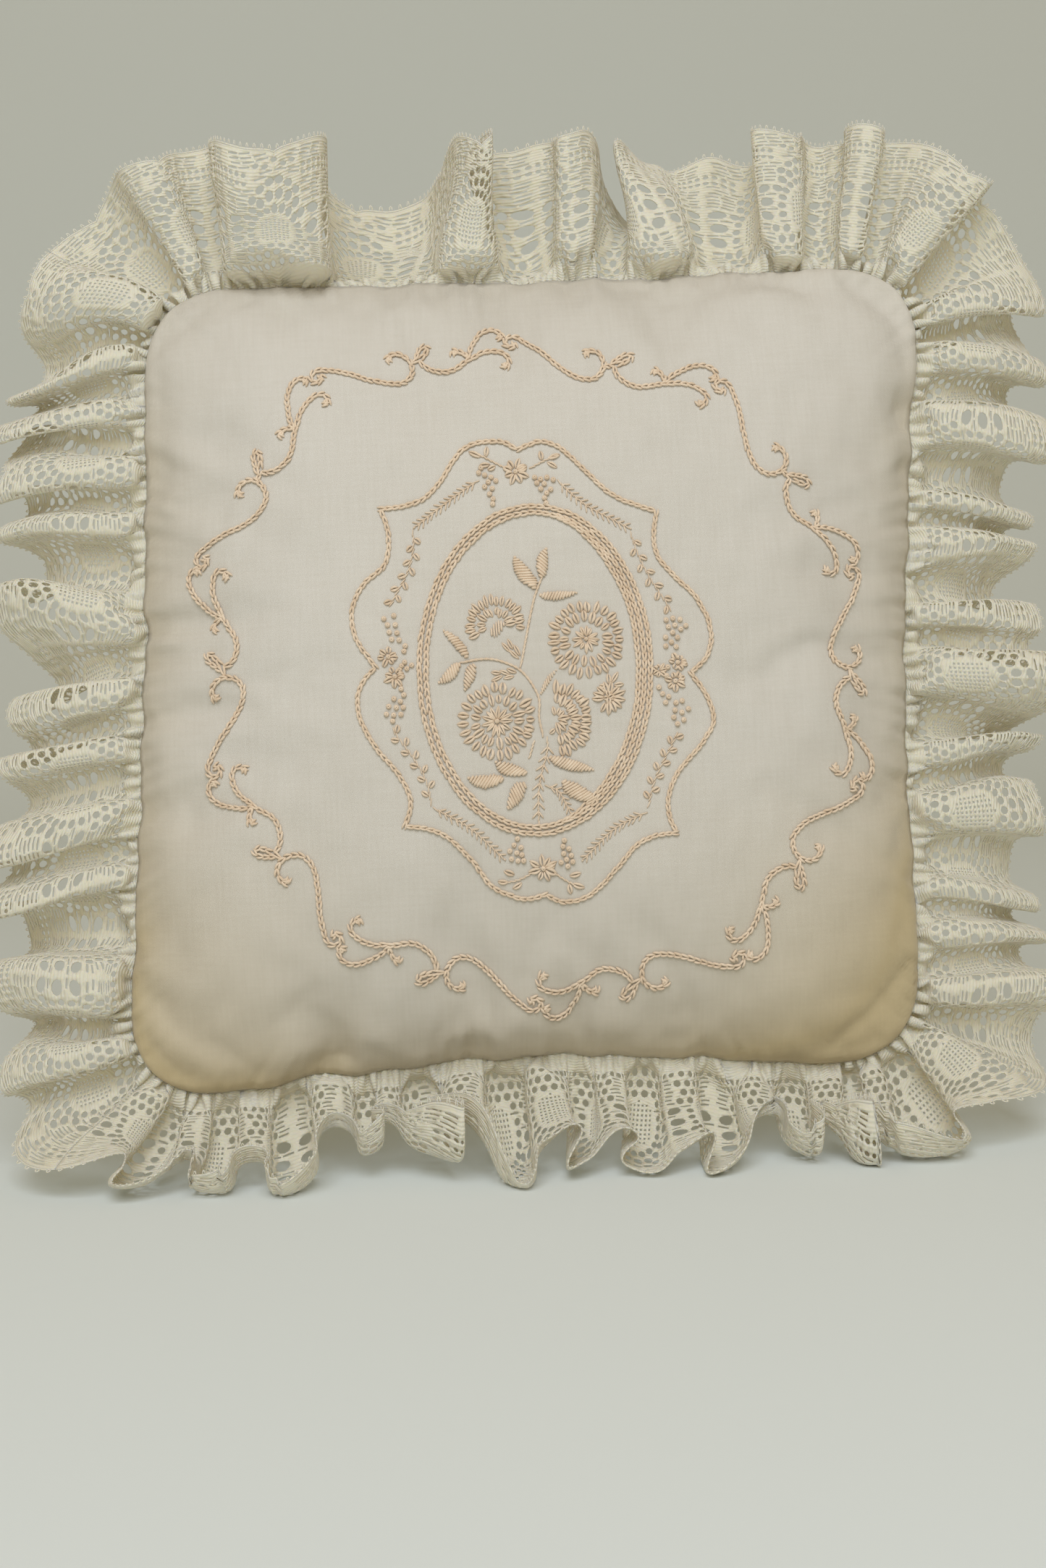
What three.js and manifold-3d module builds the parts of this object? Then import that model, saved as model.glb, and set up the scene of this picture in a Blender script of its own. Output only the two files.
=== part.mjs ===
// Ring bearer pillow: a square ivory cushion with white-work embroidery on its front face and a
// gathered lace ruffle caught in the seam all round.
// Millimetres, +Z up, front face towards -Y. The pillow stands on the lower part of its ruffle, which
// splays out on the surface at z = 0, and leans back a little. The origin is on that surface, at the
// middle of the whole object's footprint.

import * as THREE from 'three';
import { mergeVertices } from 'three/addons/utils/BufferGeometryUtils.js';
import Module from 'manifold-3d';

// ---------------------------------------------------------------- driving dimensions

const SEAM_HALF_WIDTH = 125; // the cushion, seam to seam, without the lace
const SEAM_HALF_HEIGHT = 128.5;
const CORNER_RADIUS = 25;
const CROWN = 37; // how far each face stands out from the seam, at its middle
const CROWN_SQUARENESS = 2.6; // how flat the middle of a face is
const CROWN_STEEPNESS = 0.55; // how steeply a face comes up from the seam

const LEAN = THREE.MathUtils.degToRad(8); // backwards from upright
const SEAM_CLEARANCE = 26; // from the surface up to the bottom seam
const SKEW = 0.055; // the soft cushion has sagged to one side: its sides lean by this share of their height

const COVER_THICKNESS = 1;
const CASING_THICKNESS = 0.8;
const GAP = 0.3; // between pieces that touch
const LACE_THICKNESS = 1.6;
const SEAM_OPENING = LACE_THICKNESS / 2 + GAP; // each cover stops this far from the seam's plane

const LACE_WIDTH = 46; // from the seam to the scalloped edge
const LACE_HEADING = 0.9; // caught inside the seam
const LACE_EXIT = 1.4; // straight out of the seam, before the lace is free to turn
const FLUTE_DEPTH = 9.5; // each way at the scalloped edge
const FLUTE_REST = 0.8; // the share of a flute's depth that stays round where it rests
const LACE_LAY = 38; // beyond this distance from the seam, turned lace lies along the surface
const REST_SNAP = 0.5; // lace this close to the surface is pressed flat on it
const RUFFLE_TRIM = 0.012; // of a corner, between one side's stretch of lace and the next
const FLUTES_PER_SIDE = 8;
const FLUTES_PER_CORNER = 3;
const BACK_LOBES = [-96, 22, 98]; // where the bottom ruffle turns backwards, along X
const BACK_LOBE_HALF = 15;
const BACK_LOBE_TURN = 9; // the stretch over which it changes side

const THREAD_RADIUS = 0.8; // a chain-stitched line
const THREAD_LIFT = 0.35; // clear of the cloth
const PLATE_THICKNESS = 1;
const PLATE_LIFT = 0.75;
const EMBROIDERY_TURN = THREE.MathUtils.degToRad(-2.3); // how the drawn design is turned on the cloth
const EMBROIDERY_SCALE = 0.915; // of the size that the design is drawn at
const EMBROIDERY_MIDDLE = [-0.6, -2.9];
// Where each scroll of the border starts, in degrees counter-clockwise from the right, and how far
// out its start and its middle are pushed.
const SCROLL_STARTS = [93.5, 56.6, 18, -18.9, -54.5, -89.9, -126.8, -163.1, -199.3, -234.2];
const SCROLL_START_SHIFTS = [1.7, 4.1, 2.9, 3.8, 5.3, -1.9, -1.9, -1.2, 5.5, 11.8];
const SCROLL_MIDDLE_SHIFTS = [0.7, 1.7, 0.5, 2.2, 1.4, -2.6, -2.4, -3.8, 6.5, 6.5];
const SCROLL_DRAWN_SPAN = 36; // degrees that the drawn scroll takes up
const OVAL = { halfWidth: 38.2, halfHeight: 54.2, rowSpacing: 3.1 };

const RING_SEGMENTS = 5; // from the middle of a face to its seam
const SIDE_SEGMENTS = 6;
const CORNER_SEGMENTS = 3;
const FLUTE_SEGMENTS = 6;
const THREAD_SIDES = 4;
const PROBE = 0.5; // how far apart slopes and normals are measured, each way
const LEVEL_HALVINGS = 30; // steps in finding which level line goes through a place
const TURN_STEP = Math.PI / 360; // steps in finding how far lace turns aside
const TURN_SETTLED = 0.6; // lace that turns by more than this, in radians, lies along the surface
const STATION_PROBE = 0.01;
const PETAL_VALLEY = 0.72; // how far out a flower's outline goes between petals
const LINE_STEP = 4; // along a stitched line
const SHORT_LINE_STEP = 2.5;
const laceRows = [-LACE_HEADING, LACE_EXIT, 20, LACE_LAY, LACE_WIDTH];

// ---------------------------------------------------------------- materials

const fabric = (color, roughness) => new THREE.MeshStandardMaterial({ color, roughness, metalness: 0 });
const sateen = fabric('#e4dccb', 0.62);
const muslin = fabric('#ece6da', 0.85);
const wadding = fabric('#f3f1ec', 0.95);
const lace = fabric('#e9e3d4', 0.8);
const thread = fabric('#dcc7a8', 0.7);

// ---------------------------------------------------------------- the seam's outline

// The outline is walked counter-clockwise as the front face is seen, from the bottom right corner.
// A station is 2 * side + along: along runs 0 to 1 over the corner arc before a side, and 1 to 2 over the
// side itself. Side 0 is the right side, then the top, the left and the bottom. The outline is upright:
// what is built on it leans afterwards.
function outlineAt(station, inset = 0) {
  const side = Math.floor(station / 2) % 4;
  const along = station - 2 * Math.floor(station / 2);
  const startAngle = side * Math.PI / 2 - Math.PI / 2;
  const angle = startAngle + Math.min(along, 1) * Math.PI / 2;
  const signX = side === 0 || side === 1 ? 1 : -1;
  const signZ = side === 1 || side === 2 ? 1 : -1;
  const insideX = SEAM_HALF_WIDTH - CORNER_RADIUS;
  const insideZ = SEAM_HALF_HEIGHT - CORNER_RADIUS;
  const normal = new THREE.Vector2(Math.cos(angle), Math.sin(angle));
  const point = new THREE.Vector2(signX * insideX, signZ * insideZ)
    .addScaledVector(normal, CORNER_RADIUS - inset);
  const run = 2 * (side % 2 === 0 ? insideZ : insideX) * Math.max(along - 1, 0);
  point.x -= run * normal.y;
  point.y += run * normal.x;
  return { point, normal };
}

// How far the seam is from the middle of the pillow, in a direction.
function seamRadius(angle, inset) {
  const cos = Math.abs(Math.cos(angle));
  const sin = Math.abs(Math.sin(angle));
  const straight = Math.min((SEAM_HALF_WIDTH - inset) / cos, (SEAM_HALF_HEIGHT - inset) / sin);
  const insideX = SEAM_HALF_WIDTH - CORNER_RADIUS;
  const insideZ = SEAM_HALF_HEIGHT - CORNER_RADIUS;
  if (straight * cos < insideX || straight * sin < insideZ) return straight;
  const towards = cos * insideX + sin * insideZ;
  const radius = CORNER_RADIUS - inset;
  return towards + Math.sqrt(towards ** 2 - insideX ** 2 - insideZ ** 2 + radius ** 2);
}

function ovalRadius(angle, inset) {
  const halfWidth = SEAM_HALF_WIDTH - inset;
  const halfHeight = SEAM_HALF_HEIGHT - inset;
  return 1 / Math.hypot(Math.cos(angle) / halfWidth, Math.sin(angle) / halfHeight);
}

// ---------------------------------------------------------------- the crowned faces

// Level lines of a face are square at the seam and round in the middle.
function levelRadius(level, angle, inset) {
  const square = level ** 4;
  return level * (square * seamRadius(angle, inset) + (1 - square) * ovalRadius(angle, inset));
}

function crownAt(level, inset) {
  return (CROWN - inset) * (1 - Math.min(level, 1) ** CROWN_SQUARENESS) ** CROWN_STEEPNESS;
}

// Height of the front face above the seam's plane, at a place on it.
function faceHeight(x, z) {
  const upright = x - SKEW * z;
  const angle = Math.atan2(z, upright);
  const radius = Math.hypot(upright, z);
  let low = 0;
  let high = 1;
  for (let i = 0; i < LEVEL_HALVINGS; i++) {
    const level = (low + high) / 2;
    if (levelRadius(level, angle, 0) < radius) low = level;
    else high = level;
  }
  return SEAM_OPENING + crownAt(low, 0);
}

function onFace(x, z, lift) {
  const slopeX = (faceHeight(x + PROBE, z) - faceHeight(x - PROBE, z)) / (2 * PROBE);
  const slopeZ = (faceHeight(x, z + PROBE) - faceHeight(x, z - PROBE)) / (2 * PROBE);
  const normal = new THREE.Vector3(-slopeX, -1, -slopeZ).normalize();
  return new THREE.Vector3(x, -faceHeight(x, z), z).addScaledVector(normal, lift);
}

// Stations of the outline, closer together round the corners.
const stations = [];
for (let side = 0; side < 4; side++) {
  for (let i = 0; i < CORNER_SEGMENTS; i++) stations.push(2 * side + i / CORNER_SEGMENTS);
  for (let i = 0; i < SIDE_SEGMENTS; i++) stations.push(2 * side + 1 + i / SIDE_SEGMENTS);
}

// A closed shell of revolution whose round section is pulled out to the pillow's outline. Each profile
// point is { level, inset, side, opening }, with side -1 on the front half, 1 on the back half.
function crownedSolid(profile) {
  const flat = profile.map(({ level }) => new THREE.Vector2(level, 0));
  const geometry = new THREE.LatheGeometry(flat, stations.length);
  const position = geometry.getAttribute('position');
  for (let i = 0; i <= stations.length; i++) {
    const { point } = outlineAt(stations[i % stations.length]);
    const angle = Math.atan2(point.y, point.x);
    profile.forEach(({ level, inset, side, opening }, j) => {
      const radius = levelRadius(level, angle, inset);
      const height = opening + crownAt(level, inset);
      position.setXYZ(
        i * profile.length + j,
        radius * (Math.cos(angle) + SKEW * Math.sin(angle)),
        side * height,
        radius * Math.sin(angle),
      );
    });
  }
  // Where the profile runs back inwards, each quad is cut along its other diagonal, so that nested
  // shells are facetted alike and stay clear of each other.
  const quads = profile.length - 1;
  for (let quad = 0; quad < stations.length * quads; quad++) {
    const j = quad % quads;
    if (profile[j].level <= profile[j + 1].level) continue;
    const near = Math.floor(quad / quads) * profile.length + j;
    const far = near + profile.length;
    [near, far, far + 1, near, far + 1, near + 1].forEach((vertex, k) => {
      geometry.index.setX(6 * quad + k, vertex);
    });
  }
  geometry.deleteAttribute('normal');
  geometry.deleteAttribute('uv');
  return geometry;
}

const levels = Array.from(
  { length: RING_SEGMENTS + 1 },
  (_, i) => Math.sin((i / RING_SEGMENTS) * Math.PI / 2),
);

function shellHalf(side, outerInset, thickness, opening) {
  const outer = levels.map((level) => ({ level, inset: outerInset, side, opening }));
  const inner = levels.map((level) => ({ level, inset: outerInset + thickness, side, opening }));
  const profile = [...outer, ...inner.reverse()];
  return crownedSolid(side < 0 ? profile.reverse() : profile);
}

function coverHalf(side) {
  return shellHalf(side, 0, COVER_THICKNESS, SEAM_OPENING);
}

const casingInset = COVER_THICKNESS + GAP;
const casingOpening = GAP / 2;

function casingHalf(side) {
  return shellHalf(side, casingInset, CASING_THICKNESS, casingOpening);
}

function fillingSolid() {
  const inset = casingInset + CASING_THICKNESS + GAP;
  const back = levels.map((level) => ({ level, inset, side: 1, opening: 0 }));
  const front = levels.slice(0, -1).map((level) => ({ level, inset, side: -1, opening: 0 }));
  return crownedSolid([...back, ...front.reverse()]);
}

// ---------------------------------------------------------------- the lace ruffle

const tilt = new THREE.Matrix4().makeRotationX(-LEAN);
const bottomSeam = new THREE.Vector3(0, 0, -SEAM_HALF_HEIGHT).applyMatrix4(tilt);
const pillowHeight = SEAM_CLEARANCE - bottomSeam.z;
const pillowToSurface = new THREE.Matrix4().makeTranslation(0, 0, pillowHeight).multiply(tilt);

// -1 where the bottom ruffle is swept forwards, 1 where it turns back, and in between as it changes.
function sweepAt(x) {
  const lobes = BACK_LOBES.map((middle) => {
    const outside = (Math.abs(x - middle) - BACK_LOBE_HALF) / BACK_LOBE_TURN;
    return 1 - THREE.MathUtils.smoothstep(outside, -0.5, 0.5);
  });
  return 2 * Math.max(...lobes) - 1;
}

function fluteWave(station) {
  const side = Math.floor(station / 2);
  const along = station - 2 * side;
  const before = side * (FLUTES_PER_SIDE + FLUTES_PER_CORNER);
  const onCorner = along * FLUTES_PER_CORNER;
  const onSide = FLUTES_PER_CORNER + (along - 1) * FLUTES_PER_SIDE;
  const flutes = before + (along < 1 ? onCorner : onSide);
  return Math.cos(2 * Math.PI * (flutes + 0.5 / FLUTE_SEGMENTS));
}

// How far lace that hangs from a place on the seam turns aside, so that its flutes rest on the surface
// instead of going through it.
function turnAt(seam, outwards) {
  if (outwards.z >= 0) return 0;
  const flutes = FLUTE_DEPTH * FLUTE_REST;
  for (let turn = 0; turn < Math.PI / 2; turn += TURN_STEP) {
    const drop = LACE_EXIT + (LACE_LAY - LACE_EXIT) * Math.cos(turn) + flutes * Math.sin(turn);
    if (seam.z + outwards.z * drop >= LACE_THICKNESS / 2) return turn;
  }
  return Math.PI / 2;
}

// The middle of the lace at a station of the outline, at a distance outwards from the seam.
function ruffleAt(station, distance) {
  const { point, normal } = outlineAt(station);
  const seam = new THREE.Vector3(point.x + SKEW * point.y, 0, point.y).applyMatrix4(pillowToSurface);
  const outwards = new THREE.Vector3(normal.x, 0, normal.y).transformDirection(pillowToSurface);
  const turn = turnAt(seam, outwards);
  const settled = THREE.MathUtils.smoothstep(turn, 0, TURN_SETTLED);
  const depthwise = new THREE.Vector3(0, 1, 0).transformDirection(pillowToSurface)
    .lerp(new THREE.Vector3(0, 1, 0), settled)
    .normalize();
  const sweep = sweepAt(point.x);
  const free = Math.max(Math.min(distance, LACE_LAY) - LACE_EXIT, 0);
  const laid = Math.max(distance - LACE_LAY, 0);
  const layTurn = THREE.MathUtils.lerp(turn, Math.PI / 2, settled);
  const wave = FLUTE_DEPTH * fluteWave(station) * THREE.MathUtils.smoothstep(distance, LACE_EXIT, LACE_LAY);
  const fall = Math.min(distance, LACE_EXIT) + free * Math.cos(turn) + laid * Math.cos(layTurn);
  const place = seam
    .addScaledVector(outwards, fall)
    .addScaledVector(depthwise, sweep * (free * Math.sin(turn) + laid * Math.sin(layTurn)))
    .addScaledVector(depthwise, wave * Math.cos(turn))
    .addScaledVector(outwards, -wave * sweep * Math.sin(turn));
  place.z = Math.max(place.z, LACE_THICKNESS / 2);
  return place;
}

// Stations along one side's stretch of the ruffle, from the middle of one corner to the middle of the
// next, spread so that each flute gets the same steps.
function ruffleStation(side, share) {
  const flute = share * (FLUTES_PER_SIDE + FLUTES_PER_CORNER);
  const halfCorner = FLUTES_PER_CORNER / 2;
  const onSide = flute - halfCorner;
  const first = 2 * side + 0.5;
  let station = first + flute / FLUTES_PER_CORNER;
  if (onSide > 0) station = first + 0.5 + onSide / FLUTES_PER_SIDE;
  if (onSide > FLUTES_PER_SIDE) station = first + 1.5 + (onSide - FLUTES_PER_SIDE) / FLUTES_PER_CORNER;
  return THREE.MathUtils.clamp(station, first + RUFFLE_TRIM, first + 2 - RUFFLE_TRIM);
}

function ruffleSide(side) {
  const steps = FLUTE_SEGMENTS * (FLUTES_PER_SIDE + FLUTES_PER_CORNER);
  const geometry = new THREE.BoxGeometry(1, 1, 1, steps, 1, laceRows.length - 1);
  const position = geometry.getAttribute('position');
  for (let i = 0; i < position.count; i++) {
    const station = ruffleStation(side, position.getX(i) + 0.5);
    const row = Math.round((position.getZ(i) + 0.5) * (laceRows.length - 1));
    const distance = laceRows[row];
    const alongSeam = ruffleAt(station + STATION_PROBE, distance)
      .sub(ruffleAt(station - STATION_PROBE, distance));
    const acrossLace = ruffleAt(station, distance + PROBE).sub(ruffleAt(station, distance - PROBE));
    const faceNormal = acrossLace.cross(alongSeam).normalize();
    const face = Math.sign(position.getY(i));
    const place = ruffleAt(station, distance).addScaledVector(faceNormal, face * LACE_THICKNESS / 2);
    position.setXYZ(i, place.x, place.y, place.z < REST_SNAP ? 0 : place.z);
  }
  geometry.deleteAttribute('normal');
  geometry.deleteAttribute('uv');
  return geometry;
}

// ---------------------------------------------------------------- embroidery

// The design is drawn flat, as [x, z] from its middle, and laid on the front face.
const designTurn = new THREE.Vector2(Math.cos(EMBROIDERY_TURN), Math.sin(EMBROIDERY_TURN));

function stitchedAt(x, z, lift) {
  const turnedX = x * designTurn.x - z * designTurn.y;
  const turnedZ = x * designTurn.y + z * designTurn.x;
  const [middleX, middleZ] = EMBROIDERY_MIDDLE;
  return onFace(middleX + EMBROIDERY_SCALE * turnedX, middleZ + EMBROIDERY_SCALE * turnedZ, lift);
}

// A line of stitching: a cord laid along a smooth curve through the points.
function stitchedLine(points, stepLength = LINE_STEP) {
  const flat = new THREE.CatmullRomCurve3(points.map(([x, z]) => new THREE.Vector3(x, z, 0)));
  const steps = Math.max(Math.round(flat.getLength() / stepLength), 4);
  const lift = THREAD_LIFT + THREAD_RADIUS;
  const laid = flat.getSpacedPoints(steps).map((p) => stitchedAt(p.x, p.y, lift));
  const section = new THREE.Shape();
  for (let i = 0; i < THREAD_SIDES; i++) {
    const angle = (2 * Math.PI * i) / THREAD_SIDES;
    const x = THREAD_RADIUS * Math.cos(angle);
    const y = THREAD_RADIUS * Math.sin(angle);
    if (i === 0) section.moveTo(x, y);
    else section.lineTo(x, y);
  }
  return new THREE.ExtrudeGeometry(section, {
    steps,
    extrudePath: new THREE.CatmullRomCurve3(laid),
    bevelEnabled: false,
  });
}

// A closed line of stitching: a ring whose radius and level follow the curve.
function stitchedRing(pointAt, segments) {
  const ring = new THREE.TorusGeometry(1, 0.5, THREAD_SIDES, segments);
  const position = ring.getAttribute('position');
  for (let j = 0; j <= THREAD_SIDES; j++) {
    for (let i = 0; i <= segments; i++) {
      const angle = (2 * Math.PI * i) / segments;
      const around = (2 * Math.PI * j) / THREAD_SIDES;
      const [x, z] = pointAt(angle);
      const outwards = new THREE.Vector2(x, z).normalize().multiplyScalar(THREAD_RADIUS * Math.cos(around));
      const lift = THREAD_LIFT + THREAD_RADIUS * (1 + Math.sin(around));
      const place = stitchedAt(x + outwards.x, z + outwards.y, lift);
      position.setXYZ(j * (segments + 1) + i, place.x, place.y, place.z);
    }
  }
  ring.deleteAttribute('normal');
  ring.deleteAttribute('uv');
  return ring;
}

// A patch of filled stitching: a thin plate with the outline of the stitches.
function stitchedPatch(outline) {
  const shape = new THREE.Shape(outline.map(([x, z]) => new THREE.Vector2(x, z)));
  const plate = new THREE.ExtrudeGeometry(shape, { depth: 1, steps: 1, bevelEnabled: false });
  const position = plate.getAttribute('position');
  for (let i = 0; i < position.count; i++) {
    const lift = PLATE_LIFT + PLATE_THICKNESS * position.getZ(i);
    const place = stitchedAt(position.getX(i), position.getY(i), lift);
    position.setXYZ(i, place.x, place.y, place.z);
  }
  return plate;
}

const polar = (radius, degrees) => {
  const angle = THREE.MathUtils.degToRad(degrees);
  return [radius * Math.cos(angle), radius * Math.sin(angle)];
};

// Petals round a middle, from one angle to another; a part flower closes through its middle.
function flower([x, z], reach, petals, from = 0, to = 360) {
  const outline = [];
  const whole = to - from >= 360;
  for (let i = 0; i < 2 * petals + (whole ? 0 : 1); i++) {
    const [dx, dz] = polar(i % 2 ? reach : reach * PETAL_VALLEY, from + ((to - from) * i) / (2 * petals));
    outline.push([x + dx, z + dz]);
  }
  if (!whole) outline.push([x, z]);
  return stitchedPatch(outline);
}

// A pointed leaf between two ends.
function leaf([x0, z0], [x1, z1], width) {
  const length = Math.hypot(x1 - x0, z1 - z0);
  const along = [(x1 - x0) / length, (z1 - z0) / length];
  const shares = [0, 0.3, 0.65, 1, 0.65, 0.3];
  const widths = [0, 0.42, 0.5, 0, -0.5, -0.42];
  return stitchedPatch(shares.map((share, i) => [
    x0 + along[0] * length * share - along[1] * width * widths[i],
    z0 + along[1] * length * share + along[0] * width * widths[i],
  ]));
}

// Leaflets, petals or knots in pairs along a curve: a strip with a notched outline.
function sprig(points, halfWidth, pairs, stemHalfWidth = 0.7) {
  const curve = new THREE.CatmullRomCurve3(points.map(([x, z]) => new THREE.Vector3(x, z, 0)));
  const left = [];
  const right = [];
  for (let i = 0; i <= 2 * pairs; i++) {
    const share = i / (2 * pairs);
    const p = curve.getPointAt(share);
    const t = curve.getTangentAt(share);
    const reach = i % 2 ? halfWidth : stemHalfWidth;
    left.push([p.x - t.y * reach, p.y + t.x * reach]);
    right.push([p.x + t.y * reach, p.y - t.x * reach]);
  }
  return stitchedPatch([...right, ...left.reverse()]);
}

// ---------------------------------------------------------------- joining

const wasm = await Module();
wasm.setup();

function toManifold(geometry) {
  const bare = new THREE.BufferGeometry();
  bare.setAttribute('position', geometry.getAttribute('position'));
  if (geometry.index) bare.setIndex(geometry.index);
  const merged = mergeVertices(bare, 1e-3);
  return new wasm.Manifold(new wasm.Mesh({
    numProp: 3,
    vertProperties: merged.getAttribute('position').array,
    triVerts: new Uint32Array(merged.index.array),
  }));
}

function joined(...geometries) {
  const mesh = geometries.map(toManifold).reduce((sum, next) => sum.add(next)).getMesh();
  const geometry = new THREE.BufferGeometry();
  geometry.setAttribute('position', new THREE.BufferAttribute(mesh.vertProperties, 3));
  geometry.setIndex(new THREE.BufferAttribute(mesh.triVerts, 1));
  return geometry;
}

// ---------------------------------------------------------------- the design

// One unit of the outer border, going clockwise from straight up: a curl, a long line that dips
// inwards, a leaf loop, a second dip, then a fork whose branches each end in a curl.
function scroll(index) {
  const next = (index + 1) % SCROLL_STARTS.length;
  const start = SCROLL_STARTS[index];
  const span = start - SCROLL_STARTS[next] + (next ? 0 : 360);
  const shifts = [SCROLL_START_SHIFTS[index], SCROLL_MIDDLE_SHIFTS[index], SCROLL_START_SHIFTS[next]];
  const at = (radius, clockwise) => {
    const halves = (2 * clockwise) / SCROLL_DRAWN_SPAN;
    const half = Math.floor(halves);
    const shift = THREE.MathUtils.lerp(shifts[half], shifts[half + 1], halves - half);
    return polar(radius + shift, start - (span * clockwise) / SCROLL_DRAWN_SPAN);
  };
  const main = stitchedLine([
    at(113, 0), at(109, 3), at(104, 8), at(103, 12.5), at(108, 16), at(108.5, 18),
    at(105, 21), at(104, 25), at(108, 28.5), at(114.5, 31.5), at(116, 34),
  ]);
  const branch = stitchedLine([at(107.5, 28), at(109, 31), at(105, 33.2)], SHORT_LINE_STEP);
  return joined(main, branch);
}

// The scalloped frame round the wreath: a closed line with notches above, below and at each side, and
// four pointed shoulders.
const scallopPoints = [
  [-5.7, 73.6], [-15.3, 76.7], [-27, 68], [-35, 57.5], [-50.8, 53.8], [-50, 37], [-57, 27],
  [-60.2, 16], [-58, 6], [-52.1, -0.3], [-57.9, -11], [-56, -24], [-44.5, -37], [-43, -51.5],
  [-29, -54], [-18, -68], [-7, -75], [3.4, -73.8], [8.7, -76.7], [23, -68], [33, -56],
  [46.2, -54], [47, -37], [57, -25], [59.3, -13], [52, -1], [58.5, 12], [56, 24], [42, 38],
  [40.2, 53.2], [27, 57], [14, 69], [1.4, 76.7],
];
const scallop = new THREE.CatmullRomCurve3(
  scallopPoints.map(([x, z]) => new THREE.Vector3(x, z, 0)),
  true,
);
const scallopAt = (angle) => {
  const p = scallop.getPointAt(angle / (2 * Math.PI));
  return [p.x, p.y];
};

const ovalAt = (row) => (angle) => [
  (OVAL.halfWidth - row * OVAL.rowSpacing) * Math.cos(angle),
  (OVAL.halfHeight - row * OVAL.rowSpacing) * Math.sin(angle),
];

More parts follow.
